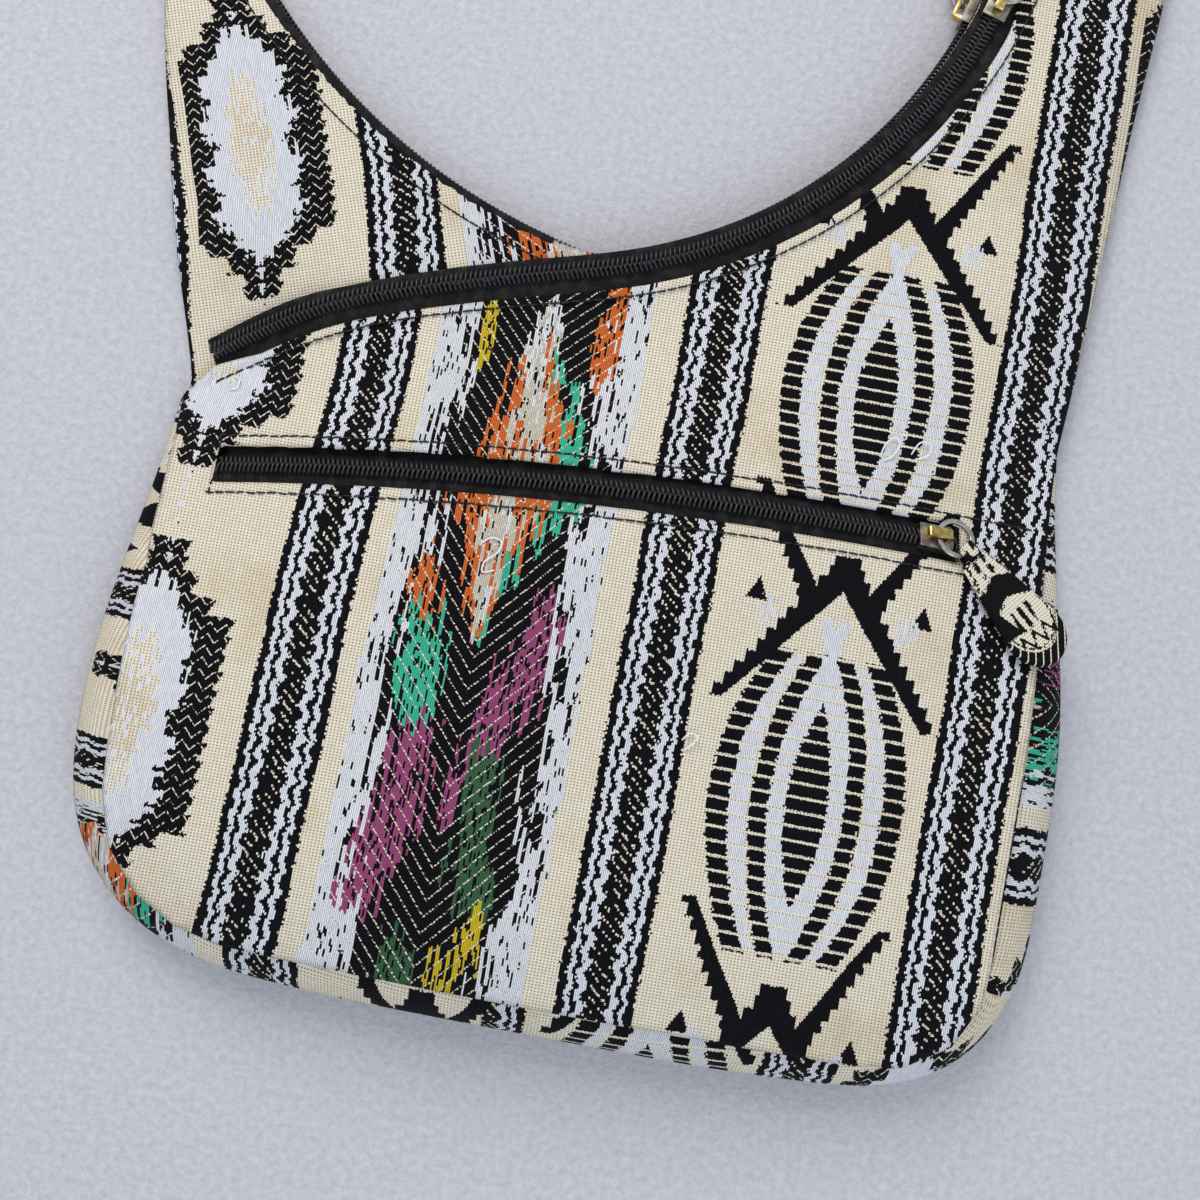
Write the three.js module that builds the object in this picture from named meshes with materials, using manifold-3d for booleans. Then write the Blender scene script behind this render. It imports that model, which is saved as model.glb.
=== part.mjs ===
// A soft shoulder bag of woven cotton that lies on its back: a flat back panel, a gusset, an inner
// front panel, an outer panel that crosses over it, a strap, and three coil zips with cloth pulls.
// Millimetres. +X to the bag's right as seen from the front, +Y towards the strap, +Z up from the
// back panel to the front. The origin is on the underside of the back panel.
import * as THREE from 'three';
import { mergeVertices } from 'three/addons/utils/BufferGeometryUtils.js';
import Module from 'manifold-3d';

const wasm = await Module();
wasm.setup();

// Cloth and clearances
const CLOTH = 1.6;
const SEAM_GAP = 0.3;
const LAP_GAP = 0.5;
const TAPE_GAP = 1;
const RUN_GAP = 0.4;

// Side and base seams of the body
const LEFT_EDGE = -136;
const RIGHT_EDGE = 151;
const BASE_EDGE = -125;
const LEFT_CORNER = 50;
const RIGHT_CORNER = 36;
const LEFT_SLANT = 0.061;

// Wings that rise from the body to the strap
const LEFT_ROOT = 54;
const LEFT_LEAN = 0.36;
const LEFT_CURVE = 0.0006;
const RIGHT_ROOT = 68;
const RIGHT_LEAN = 0.07;
const WING_SHOULDER = 26;

// How high the filled body stands
const BELLY_HEIGHT = 42;
const BELLY_TOP = 10;
const RIM_HEIGHT = 30;
const LEFT_RIM_TOP = 62;
const RIGHT_RIM_TOP = 92;
const RIM_RUN = 125;
const BASE_DROP = 10;
const BASE_SHOULDER = 38;
const POCKET_DEPTH = 14;
const POCKET_TOP = 46;

// Gusset bulge past the seam
const GUSSET_LEFT_BULGE = 15;
const GUSSET_BASE_BULGE = 11;
const GUSSET_RIGHT_BULGE = 15;
const GUSSET_LEFT_TOP = 44;
const GUSSET_RIGHT_TOP = 80;

// V neck: two arcs about centres above the mouth
const LEFT_V_CENTRE = new THREE.Vector2(27, 328);
const LEFT_V_RADIUS = 215.5;
const LEFT_V_ANGLES = [-138, -103];
const RIGHT_V_CENTRE = new THREE.Vector2(-54, 268);
const RIGHT_V_RADIUS = 158;
const RIGHT_V_ANGLES = [-71, -13];
const NECK_FLAT = 96;

// Strap
const STRAP_WIDTH = 38;
const STRAP_HEIGHT = 5.2;
const STRAP_LEFT = new THREE.Vector2(-167, 212);
const STRAP_LEFT_PULL = new THREE.Vector2(-33, 146);
const STRAP_RIGHT = new THREE.Vector2(146, 280);
const STRAP_RIGHT_PULL = new THREE.Vector2(8, 110);

// Coil zips
const TAPE = 0.6;
const TAPE_WIDTH = 12;
const COIL_INNER = 0.6;
const COIL_OUTER = 3.1;
const COIL_HEIGHT = 2.2;
const CROSSOVER_SETBACK = 7.8;
const CROSSOVER_LEFT = new THREE.Vector2(-129, 59);
const CROSSOVER_LEFT_PULL = new THREE.Vector2(40, 27);
const CROSSOVER_RIGHT_PULL = 42;
const CROSSOVER_TURN = -74;
const CROSSOVER_FALL = 2;
const POCKET_LEFT = new THREE.Vector2(-117, 22);
const POCKET_MIDDLE = new THREE.Vector2(2, 34.5);
const POCKET_RIGHT = new THREE.Vector2(121, 40.5);
const POCKET_WINDOW = 6.4;

// Pocket bag
const BAG_LENGTH = 88;
const BAG_CLOTH = 0.8;
const BAG_OPENING = 2.4;
const BAG_INSET = 16;

// Sliders and pulls
const SLIDER_LENGTH = 11.5;
const SLIDER_WIDTH = 8.6;
const SLIDER_TAIL = 7.9;
const PLATE = 1;
const POST = 0.5;
const CROWN_LENGTH = 8.6;
const CROWN_WIDTH = 3.2;
const CROWN_BAR = 1.1;
const TUNNEL_HEIGHT = 2.3;
const RING_RADIUS = 5.9;
const RING_BAND = 1.6;
const RING_THICK = 1;
const PULL_LENGTH = 42;
const PULL_BULB = 11.5;
const PULL_NECK = 5.6;
const PULL_THICK = 2.6;
const EYE_WIDTH = 6;
const EYE_CLOTH = 0.7;
const EYE_PLAY = 0.35;
const SLIDER_INSET = 9;
const POCKET_PULL_YAW = -45;
const CROSSOVER_PULL_YAW = -24;
const MOUTH_PULL_YAW = -8;
const MOUTH_PULL_SWING = 40;

// Facets
const GRID_X = 20;
const GRID_Y = 13;
const SEAM_STEPS = 38;
const MARGIN = 20;

// Heights that follow from the sizes above
const WING_RIM = 3 * CLOTH + 2 * SEAM_GAP;
const RIM_DEPTH = CLOTH + SEAM_GAP;
const SLIDER_RUN = SLIDER_WIDTH / 2 + RUN_GAP;
const MOUTH_CHAIN = CLOTH + SEAM_GAP + TAPE + SLIDER_RUN;
const MOUTH_INNER = MOUTH_CHAIN + SLIDER_RUN + TAPE + SEAM_GAP + CLOTH;
const TAPE_DEPTH = CLOTH + TAPE_GAP;
const INNER_LOW = 2 * CLOTH + SEAM_GAP;
const MOUTH_DEPTH = TAPE_DEPTH + TAPE + RUN_GAP + PLATE + RUN_GAP;
const MOUTH_FRONT = MOUTH_INNER + MOUTH_DEPTH;
const TOP_PLATE = COIL_HEIGHT + RUN_GAP;
const TUNNEL_AXIS = TOP_PLATE + PLATE + TUNNEL_HEIGHT / 2;
const BODY_CENTRE = (LEFT_EDGE + RIGHT_EDGE) / 2;
const MOUTH_SETBACK = COIL_HEIGHT;

const { lerp, smoothstep, degToRad } = THREE.MathUtils;
const up = new THREE.Vector3(0, 0, 1);

// Side seams as x over y
function leftEdge(y) {
  const rise = y - LEFT_ROOT;
  if (rise < 0) return LEFT_EDGE - LEFT_SLANT * rise;
  return LEFT_EDGE - LEFT_LEAN * rise + LEFT_CURVE * rise * rise;
}

function rightEdge(y) {
  return RIGHT_EDGE + RIGHT_LEAN * Math.max(0, y - RIGHT_ROOT);
}

// 0 at a side seam, 1 where the cloth has risen to its full height
function inset(x, y) {
  const nearest = Math.max(0, Math.min(x - leftEdge(y), rightEdge(y) - x));
  const half = (rightEdge(y) - leftEdge(y)) / 2;
  const shoulder = lerp(half, WING_SHOULDER, smoothstep(y, POCKET_TOP, NECK_FLAT));
  return Math.min(1, nearest / shoulder);
}

function rawFront(x, y) {
  const rimTop = x < BODY_CENTRE ? LEFT_RIM_TOP : RIGHT_RIM_TOP;
  const rim = lerp(RIM_HEIGHT, WING_RIM, smoothstep(y, rimTop - RIM_RUN, rimTop));
  const crest = lerp(BELLY_HEIGHT, MOUTH_FRONT, smoothstep(y, BELLY_TOP, NECK_FLAT));
  const fall = 1 - Math.min(1, Math.max(0, y - BASE_EDGE) / BASE_SHOULDER);
  return lerp(crest, rim, (1 - inset(x, y)) ** 2) - BASE_DROP * fall ** 2;
}

function layerDepth(x, y) {
  const full = lerp(POCKET_DEPTH, MOUTH_DEPTH, smoothstep(y, POCKET_TOP, NECK_FLAT));
  return lerp(full, RIM_DEPTH, (1 - inset(x, y)) ** 6);
}

// Plan curve of the neck, a given distance into the cloth from the mouth's edge
function arcPoints(centre, radius, angles, steps) {
  const points = [];
  for (let i = 0; i <= steps; i += 1) {
    const angle = degToRad(lerp(angles[0], angles[1], i / steps));
    points.push(new THREE.Vector2(Math.cos(angle), Math.sin(angle)).multiplyScalar(radius).add(centre));
  }
  return points;
}

function bridge(from, fromPull, to, toPull, steps) {
  const first = from.clone().add(fromPull);
  const second = to.clone().sub(toPull);
  return new THREE.CubicBezierCurve(from, first, second, to).getPoints(steps);
}

function alongArc(angle) {
  return new THREE.Vector2(-Math.sin(degToRad(angle)), Math.cos(degToRad(angle)));
}

function neckCurve(offset) {
  const left = arcPoints(LEFT_V_CENTRE, LEFT_V_RADIUS + offset, LEFT_V_ANGLES, 8);
  const right = arcPoints(RIGHT_V_CENTRE, RIGHT_V_RADIUS + offset, RIGHT_V_ANGLES, 13);
  const gap = left.at(-1).distanceTo(right[0]) / 3;
  const leaving = alongArc(LEFT_V_ANGLES[1]).multiplyScalar(gap);
  const meeting = alongArc(RIGHT_V_ANGLES[0]).multiplyScalar(gap);
  const middle = bridge(left.at(-1), leaving, right[0], meeting, 4).slice(1, -1);
  return [...left, ...middle, ...right];
}

// Plan curve of the crossover zip's chain: a long S up to the neck, then the right arc
function crossoverCurve() {
  const angles = [CROSSOVER_TURN, RIGHT_V_ANGLES[1]];
  const arc = arcPoints(RIGHT_V_CENTRE, RIGHT_V_RADIUS + CROSSOVER_SETBACK, angles, 13);
  const meeting = alongArc(CROSSOVER_TURN).multiplyScalar(CROSSOVER_RIGHT_PULL);
  const rise = bridge(CROSSOVER_LEFT, CROSSOVER_LEFT_PULL, arc[0], meeting, 14);
  return [...rise.slice(0, -1), ...arc];
}

function tangentsOf(points) {
  return points.map((point, i) => {
    const before = points[Math.max(0, i - 1)];
    const after = points[Math.min(points.length - 1, i + 1)];
    return after.clone().sub(before).normalize();
  });
}

function offsetCurve(points, distance) {
  const tangents = tangentsOf(points);
  return points.map((point, i) => {
    const side = new THREE.Vector2(-tangents[i].y, tangents[i].x);
    return point.clone().addScaledVector(side, distance);
  });
}

const RIGHT_ZIP_END = arcPoints(RIGHT_V_CENTRE, RIGHT_V_RADIUS, RIGHT_V_ANGLES, 1)[1].y;
const LEFT_ZIP_END = arcPoints(LEFT_V_CENTRE, LEFT_V_RADIUS, LEFT_V_ANGLES, 1)[0].y;

// Top faces of the two front layers, eased down to the strap past the ends of the zips
function frontHeight(x, y) {
  const ease = smoothstep(y, RIGHT_ZIP_END + CROSSOVER_FALL, STRAP_RIGHT.y);
  return x > BODY_CENTRE ? lerp(rawFront(x, y), STRAP_HEIGHT, ease) : rawFront(x, y);
}

function innerHeight(x, y) {
  const ease = smoothstep(y, LEFT_ZIP_END + CROSSOVER_FALL, STRAP_LEFT.y);
  const height = Math.max(rawFront(x, y) - layerDepth(x, y), INNER_LOW);
  return x < BODY_CENTRE ? lerp(height, STRAP_HEIGHT, ease) : height;
}

// Closed solid through rings of equal counts, with the ends capped
function loft(rings, section) {
  if (THREE.ShapeUtils.isClockWise(section)) {
    return loft(rings.map((ring) => ring.slice().reverse()), section.slice().reverse());
  }
  const count = rings[0].length;
  const positions = rings.flat().flatMap((point) => point.toArray());
  const index = [];
  for (let i = 0; i + 1 < rings.length; i += 1) {
    for (let j = 0; j < count; j += 1) {
      const a = i * count + j;
      const b = i * count + ((j + 1) % count);
      index.push(a, b, b + count, a, b + count, a + count);
    }
  }
  const last = (rings.length - 1) * count;
  for (const [a, b, c] of THREE.ShapeUtils.triangulateShape(section, [])) {
    index.push(c, b, a, last + a, last + b, last + c);
  }
  const geometry = new THREE.BufferGeometry();
  geometry.setAttribute('position', new THREE.Float32BufferAttribute(positions, 3));
  geometry.setIndex(signedVolume(positions, index) < 0 ? index.reverse() : index);
  return geometry;
}

function signedVolume(positions, index) {
  const [a, b, c] = [new THREE.Vector3(), new THREE.Vector3(), new THREE.Vector3()];
  let volume = 0;
  for (let i = 0; i < index.length; i += 3) {
    a.fromArray(positions, index[i] * 3);
    b.fromArray(positions, index[i + 1] * 3);
    c.fromArray(positions, index[i + 2] * 3);
    volume += a.dot(b.cross(c)) / 6;
  }
  return volume;
}

// Sweeps a section of (across, rise) points along frames of { origin, across, rise }
function sweep(frames, sectionAt) {
  const section = typeof sectionAt === 'function' ? sectionAt : () => sectionAt;
  const place = (frame, point) => frame.origin.clone()
    .addScaledVector(frame.across, point.x)
    .addScaledVector(frame.rise, point.y);
  const rings = frames.map((frame) => section(frame).map((point) => place(frame, point)));
  return loft(rings, section(frames[0]));
}

function points2(...pairs) {
  return pairs.map(([x, y]) => new THREE.Vector2(x, y));
}

// Joins and cuts of closed solids
function toSolid(geometry) {
  const bare = geometry.clone();
  bare.deleteAttribute('normal');
  bare.deleteAttribute('uv');
  const merged = mergeVertices(bare, 1e-4);
  const mesh = new wasm.Mesh({
    numProp: 3,
    vertProperties: new Float32Array(merged.attributes.position.array),
    triVerts: new Uint32Array(merged.index.array),
  });
  return new wasm.Manifold(mesh);
}

function toGeometry(solid) {
  const mesh = solid.getMesh();
  const geometry = new THREE.BufferGeometry();
  geometry.setAttribute('position', new THREE.BufferAttribute(mesh.vertProperties, 3));
  geometry.setIndex(new THREE.BufferAttribute(mesh.triVerts, 1));
  return geometry;
}

function prism(outline, low, high, holes = []) {
  const shape = new THREE.Shape(outline);
  shape.holes = holes.map((hole) => new THREE.Path(hole));
  const geometry = new THREE.ExtrudeGeometry(shape, { depth: high - low, bevelEnabled: false });
  return geometry.translate(0, 0, low);
}

// The solid between two height functions, cut to an outline. All share one grid of facets, so
// layers that lie on each other keep their distance
function layer(top, bottom, outline, holes = []) {
  const box = new THREE.Box2().setFromPoints(outline).expandByScalar(MARGIN);
  const low = new THREE.Vector2(Math.floor(box.min.x / GRID_X), Math.floor(box.min.y / GRID_Y));
  const high = new THREE.Vector2(Math.ceil(box.max.x / GRID_X), Math.ceil(box.max.y / GRID_Y));
  const rows = high.y - low.y + 1;
  const positions = [];
  const index = [];
  for (let i = low.x; i <= high.x; i += 1) {
    for (let j = low.y; j <= high.y; j += 1) {
      const [x, y] = [i * GRID_X, j * GRID_Y];
      positions.push(x, y, top(x, y), x, y, bottom(x, y));
    }
  }
  const at = (i, j, side) => ((i - low.x) * rows + (j - low.y)) * 2 + side;
  const quad = (a, b, c, d) => index.push(a, b, c, a, c, d);
  for (let i = low.x; i < high.x; i += 1) {
    for (let j = low.y; j < high.y; j += 1) {
      quad(at(i, j, 0), at(i + 1, j, 0), at(i + 1, j + 1, 0), at(i, j + 1, 0));
      quad(at(i, j, 1), at(i, j + 1, 1), at(i + 1, j + 1, 1), at(i + 1, j, 1));
    }
    quad(at(i, low.y, 1), at(i + 1, low.y, 1), at(i + 1, low.y, 0), at(i, low.y, 0));
    quad(at(i, high.y, 0), at(i + 1, high.y, 0), at(i + 1, high.y, 1), at(i, high.y, 1));
  }
  for (let j = low.y; j < high.y; j += 1) {
    quad(at(low.x, j, 0), at(low.x, j + 1, 0), at(low.x, j + 1, 1), at(low.x, j, 1));
    quad(at(high.x, j, 1), at(high.x, j + 1, 1), at(high.x, j + 1, 0), at(high.x, j, 0));
  }
  const slab = new THREE.BufferGeometry();
  slab.setAttribute('position', new THREE.Float32BufferAttribute(positions, 3));
  slab.setIndex(index);
  const cutter = prism(outline, -MARGIN, BELLY_HEIGHT + MARGIN, holes);
  return toSolid(slab).intersect(toSolid(cutter));
}

// Height on the facets of a layer
function onFacets(height, x, y) {
  const [i, j] = [Math.floor(x / GRID_X), Math.floor(y / GRID_Y)];
  const [u, v] = [x / GRID_X - i, y / GRID_Y - j];
  const corner = (right, above) => height((i + right) * GRID_X, (j + above) * GRID_Y);
  const turn = u > v ? corner(1, 0) : corner(0, 1);
  return corner(0, 0) * (1 - Math.max(u, v)) + turn * Math.abs(u - v) + corner(1, 1) * Math.min(u, v);
}

function clothPanel(height, outline, holes) {
  return toGeometry(layer(height, (x, y) => height(x, y) - CLOTH, outline, holes));
}

// Seam round the sides and base, from the left wing's root to the right wing's root
const seamPath = new THREE.Path();
seamPath.moveTo(leftEdge(GUSSET_LEFT_TOP), GUSSET_LEFT_TOP);
seamPath.lineTo(leftEdge(BASE_EDGE + LEFT_CORNER), BASE_EDGE + LEFT_CORNER);
seamPath.quadraticCurveTo(leftEdge(BASE_EDGE), BASE_EDGE, leftEdge(BASE_EDGE) + LEFT_CORNER, BASE_EDGE);
seamPath.lineTo(RIGHT_EDGE - RIGHT_CORNER, BASE_EDGE);
seamPath.quadraticCurveTo(RIGHT_EDGE, BASE_EDGE, RIGHT_EDGE, BASE_EDGE + RIGHT_CORNER);
seamPath.lineTo(rightEdge(GUSSET_RIGHT_TOP), GUSSET_RIGHT_TOP);
const seam = seamPath.getSpacedPoints(SEAM_STEPS);

function strapEnd(centre, pull) {
  const side = new THREE.Vector2(pull.y, -pull.x).normalize().multiplyScalar(STRAP_WIDTH / 2);
  return { left: centre.clone().sub(side), right: centre.clone().add(side) };
}

const leftEnd = strapEnd(STRAP_LEFT, STRAP_LEFT_PULL);
const rightEnd = strapEnd(STRAP_RIGHT, STRAP_RIGHT_PULL);

function edgePoints(edge, from, to, steps) {
  const points = [];
  for (let i = 0; i <= steps; i += 1) {
    const y = lerp(from, to, i / steps);
    points.push(new THREE.Vector2(edge(y), y));
  }
  return points;
}

const leftWing = [leftEnd.left, ...edgePoints(leftEdge, LEFT_ZIP_END, GUSSET_LEFT_TOP + GRID_Y, 6)];
const rightWing = edgePoints(rightEdge, GUSSET_RIGHT_TOP + GRID_Y, RIGHT_ZIP_END, 3);
const neckEdge = neckCurve(MOUTH_SETBACK);
const insideSeam = offsetCurve(seam, CLOTH + 2 * SEAM_GAP);
const chainCurve = crossoverCurve();
const clothEdge = offsetCurve(chainCurve, -SLIDER_RUN);

const group = new THREE.Group();

function add(name, geometry, look, parent = group) {
  const bare = geometry.index ? geometry.toNonIndexed() : geometry;
  bare.deleteAttribute('normal');
  bare.deleteAttribute('uv');
  const merged = mergeVertices(bare, 1e-4);
  merged.computeVertexNormals();
  const mesh = new THREE.Mesh(merged, new THREE.MeshStandardMaterial(look));
  mesh.name = name;
  parent.add(mesh);
  return mesh;
}

const WOVEN = { color: 0xcfc2a6, roughness: 0.95, metalness: 0 };
const LINING = { color: 0x2a2a2c, roughness: 0.95, metalness: 0 };
const TAPE_LOOK = { color: 0x141416, roughness: 0.9, metalness: 0 };
const COIL_LOOK = { color: 0x1c1c1f, roughness: 0.45, metalness: 0 };
const SLIDER_LOOK = { color: 0xb9b3a4, roughness: 0.35, metalness: 1 };
const RING_LOOK = { color: 0xc3c3c0, roughness: 0.3, metalness: 1 };

// Panels
const neckLine = neckEdge.slice().reverse();
const backOutline = [
  ...leftWing, ...seam, ...rightWing, rightEnd.right, rightEnd.left, ...neckLine, leftEnd.right,
];
add('back_panel', prism(backOutline, 0, CLOTH), WOVEN);

const innerOutline = [...leftWing, ...insideSeam, ...rightWing, ...neckLine, leftEnd.right];
add('inner_front_panel', clothPanel(innerHeight, innerOutline), WOVEN);

// Pocket zip: an arc over the belly in a tilted plane, the run of its slider
function onTape(point) {
  return new THREE.Vector3(point.x, point.y, onFacets(frontHeight, point.x, point.y) - TAPE_DEPTH);
}

function circleThrough(a, b, c) {
  const ab = b.clone().sub(a);
  const ac = c.clone().sub(a);
  const axis = ab.clone().cross(ac);
  const toCentre = axis.clone().cross(ab).multiplyScalar(ac.lengthSq())
    .add(ac.clone().cross(axis).multiplyScalar(ab.lengthSq()))
    .divideScalar(2 * axis.lengthSq());
  return { centre: a.clone().add(toCentre), axis: axis.normalize(), radius: toCentre.length() };
}

const pocketEnds = [POCKET_LEFT, POCKET_MIDDLE, POCKET_RIGHT].map(onTape);
const pocketArc = circleThrough(...pocketEnds);
const pocketSpan = pocketEnds[0].clone().sub(pocketArc.centre)
  .angleTo(pocketEnds[2].clone().sub(pocketArc.centre));

// The chain leans with the cloth at its middle, and keeps that lean along the run
function surfaceNormal(x, y) {
  const step = 1;
  const slopeX = (frontHeight(x + step, y) - frontHeight(x - step, y)) / (2 * step);
  const slopeY = (frontHeight(x, y + step) - frontHeight(x, y - step)) / (2 * step);
  return new THREE.Vector3(-slopeX, -slopeY, 1).normalize();
}

const pocketLean = Math.PI / 2 - surfaceNormal(POCKET_MIDDLE.x, POCKET_MIDDLE.y).angleTo(pocketArc.axis);

function pocketFrame(angle) {
  const out = pocketEnds[2].clone().sub(pocketArc.centre).normalize()
    .applyAxisAngle(pocketArc.axis, -angle);
  const origin = pocketArc.centre.clone().addScaledVector(out, pocketArc.radius);
  const along = pocketArc.axis.clone().cross(out);
  const rise = out.applyAxisAngle(along, -pocketLean);
  return { origin, across: rise.clone().cross(along), rise, along };
}

function pocketFrames(from, to, steps) {
  return Array.from({ length: steps + 1 }, (_, i) => pocketFrame(lerp(from, to, i / steps)));
}

function pocketEdge(distance, from, to) {
  return pocketFrames(from, to, 14).map(({ origin, across }) => {
    const point = origin.clone().addScaledVector(across, distance);
    return new THREE.Vector2(point.x, point.y);
  });
}

const windowMargin = SEAM_GAP / pocketArc.radius;
const windowHole = [
  ...pocketEdge(-POCKET_WINDOW, -windowMargin, pocketSpan + windowMargin),
  ...pocketEdge(POCKET_WINDOW, pocketSpan + windowMargin, -windowMargin),
];

const crossoverOutline = [
  ...seam, ...rightWing, rightEnd.right, rightEnd.left, ...clothEdge.slice().reverse(),
];
add('crossover_panel', clothPanel(frontHeight, crossoverOutline, [windowHole]), WOVEN);

// Gusset: a band that bulges out between the back panel and the front seam
const seamTangents = tangentsOf(seam);
const gussetFrames = seam.map((point, i) => ({
  origin: new THREE.Vector3(point.x, point.y, 0),
  across: new THREE.Vector3(seamTangents[i].y, -seamTangents[i].x, 0),
  rise: up,
}));

function gussetBulge(point) {
  const side = lerp(GUSSET_LEFT_BULGE, GUSSET_RIGHT_BULGE, smoothstep(point.x, LEFT_EDGE, RIGHT_EDGE));
  return lerp(GUSSET_BASE_BULGE, side, smoothstep(point.y, BASE_EDGE, BASE_EDGE + LEFT_CORNER));
}

function gussetSection({ origin }) {
  const low = CLOTH + SEAM_GAP;
  const high = frontHeight(origin.x, origin.y) - CLOTH - LAP_GAP;
  const full = RIM_HEIGHT - CLOTH - LAP_GAP - low;
  const bulge = gussetBulge(origin) * Math.min(1, (high - low) / full);
  const shares = [0, 0.2, 0.5, 0.8, 1];
  const outer = shares.map((s) => new THREE.Vector2(4 * bulge * s * (1 - s), lerp(low, high, s)));
  const inner = outer.map((p) => new THREE.Vector2(p.x - CLOTH, p.y)).reverse();
  return [...outer, ...inner];
}

add('gusset', sweep(gussetFrames, gussetSection), WOVEN);

// Strap: two halves that meet in a seam at the shoulder
const strapCurve = new THREE.CubicBezierCurve(
  STRAP_LEFT,
  STRAP_LEFT.clone().add(STRAP_LEFT_PULL),
  STRAP_RIGHT.clone().add(STRAP_RIGHT_PULL),
  STRAP_RIGHT,
);
const strapSection = points2(
  [-STRAP_WIDTH / 2, 0], [STRAP_WIDTH / 2, 0], [STRAP_WIDTH / 2, STRAP_HEIGHT - CLOTH],
  [STRAP_WIDTH / 3, STRAP_HEIGHT], [-STRAP_WIDTH / 3, STRAP_HEIGHT],
  [-STRAP_WIDTH / 2, STRAP_HEIGHT - CLOTH],
);

function strapHalf(from, to) {
  const steps = 12;
  const frames = [];
  for (let i = 0; i <= steps; i += 1) {
    const share = lerp(from, to, i / steps);
    const point = strapCurve.getPointAt(share);
    const tangent = strapCurve.getTangentAt(share);
    frames.push({
      origin: new THREE.Vector3(point.x, point.y, 0),
      across: new THREE.Vector3(tangent.y, -tangent.x, 0),
      rise: up,
    });
  }
  return sweep(frames, strapSection);
}

const seamShare = SEAM_GAP / strapCurve.getLength();
add('strap_left', strapHalf(seamShare, 0.5 - seamShare / 2), WOVEN);
add('strap_right', strapHalf(0.5 + seamShare / 2, 1 - seamShare), WOVEN);

// Pocket bag: a flat pouch behind the slit, sewn to both tapes and open between them
function pocketRegion(low, high, side) {
  const [from, to] = [side / pocketArc.radius, pocketSpan - side / pocketArc.radius];
  return [...pocketEdge(low, from, to), ...pocketEdge(high, to, from)];
}

function pocketBag() {
  const below = (depth) => (x, y) => frontHeight(x, y) - depth;
  const front = TAPE_DEPTH + TAPE + TAPE_GAP + SEAM_GAP;
  const back = front + 2 * BAG_CLOTH + BAG_OPENING;
  const lip = SLIDER_RUN + SEAM_GAP;
  const rear = lip + 2 * BAG_CLOTH;
  const shell = layer(below(front), below(back), pocketRegion(-BAG_LENGTH, rear, BAG_INSET));
  const hollow = layer(
    below(front + BAG_CLOTH),
    below(back - BAG_CLOTH),
    pocketRegion(BAG_CLOTH - BAG_LENGTH, rear - BAG_CLOTH, BAG_INSET + BAG_CLOTH),
  );
  const mouth = layer(
    below(0),
    below(back - BAG_CLOTH),
    pocketRegion(-lip, rear - BAG_CLOTH, BAG_INSET + BAG_CLOTH),
  );
  const passage = layer(below(0), below(front + PLATE), pocketRegion(-lip, lip, 0));
  return toGeometry(shell.subtract(hollow).subtract(mouth).subtract(passage));
}

add('pocket_bag', pocketBag(), LINING);

// Zip sections: a flat tape, and a coil row with a rounded back, on either side of the chain
function tapeSection(side) {
  return ({ origin, across, rise }) => {
    const edge = onTape(origin.clone().addScaledVector(across, side * TAPE_WIDTH));
    const lie = Math.min(0, edge.sub(origin).dot(rise));
    return points2(
      [side * COIL_INNER, -TAPE], [side * SLIDER_RUN, -TAPE], [side * TAPE_WIDTH, lie - TAPE],
      [side * TAPE_WIDTH, lie], [side * SLIDER_RUN, 0], [side * COIL_INNER, 0],
    );
  };
}

function coilSection(side) {
  const lift = SEAM_GAP;
  return points2(
    [side * COIL_INNER, lift], [side * COIL_OUTER, lift], [side * COIL_OUTER, COIL_HEIGHT * 0.6],
    [side * (COIL_INNER + COIL_OUTER) / 2, COIL_HEIGHT], [side * COIL_INNER, COIL_HEIGHT * 0.7],
  );
}

function addZip(name, sides, frames, sections) {
  sides.forEach((side, i) => {
    const sign = i === 0 ? 1 : -1;
    add(`${name}_tape_${side}`, sweep(frames, sections[i]), TAPE_LOOK);
    add(`${name}_coil_${side}`, sweep(frames, coilSection(sign)), COIL_LOOK);
  });
}

const endGap = 2 * windowMargin;
const pocketRun = pocketFrames(endGap, pocketSpan - endGap, 14);
addZip('pocket', ['upper', 'lower'], pocketRun, [tapeSection(1), tapeSection(-1)]);

// Crossover zip: the lower tape runs under the cloth's edge, the upper one turns down to the
// inner panel along the neck
function surfaceFrames(points) {
  const centres = points.map(onTape);
  return centres.map((origin, i) => {
    const before = centres[Math.max(0, i - 1)];
    const after = centres[Math.min(centres.length - 1, i + 1)];
    const along = after.clone().sub(before).normalize();
    const across = surfaceNormal(origin.x, origin.y).cross(along).normalize();
    return { origin, across, rise: along.clone().cross(across), along };
  });
}

function turnedTape({ origin, across, rise }) {
  const foot = origin.clone().addScaledVector(across, SLIDER_RUN + TAPE);
  const drop = (onFacets(innerHeight, foot.x, foot.y) - foot.z) / rise.z + TAPE_GAP;
  const low = Math.min(drop, -TAPE - SEAM_GAP);
  return points2(
    [COIL_INNER, -TAPE], [SLIDER_RUN, -TAPE], [SLIDER_RUN, low], [SLIDER_RUN + TAPE, low],
    [SLIDER_RUN + TAPE, 0], [COIL_INNER, 0],
  );
}

const crossoverFrames = surfaceFrames(chainCurve);
addZip('crossover', ['upper', 'lower'], crossoverFrames, [turnedTape, tapeSection(-1)]);

// Mouth zip: its chain stands on edge in the neck, facing out, and both tapes turn in
const mouthTangents = tangentsOf(neckEdge);
const mouthFrames = neckEdge.map((point, i) => {
  const along = new THREE.Vector3(mouthTangents[i].x, mouthTangents[i].y, 0);
  const origin = new THREE.Vector3(point.x, point.y, MOUTH_CHAIN);
  return { origin, across: up, rise: up.clone().cross(along), along };
});

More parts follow.
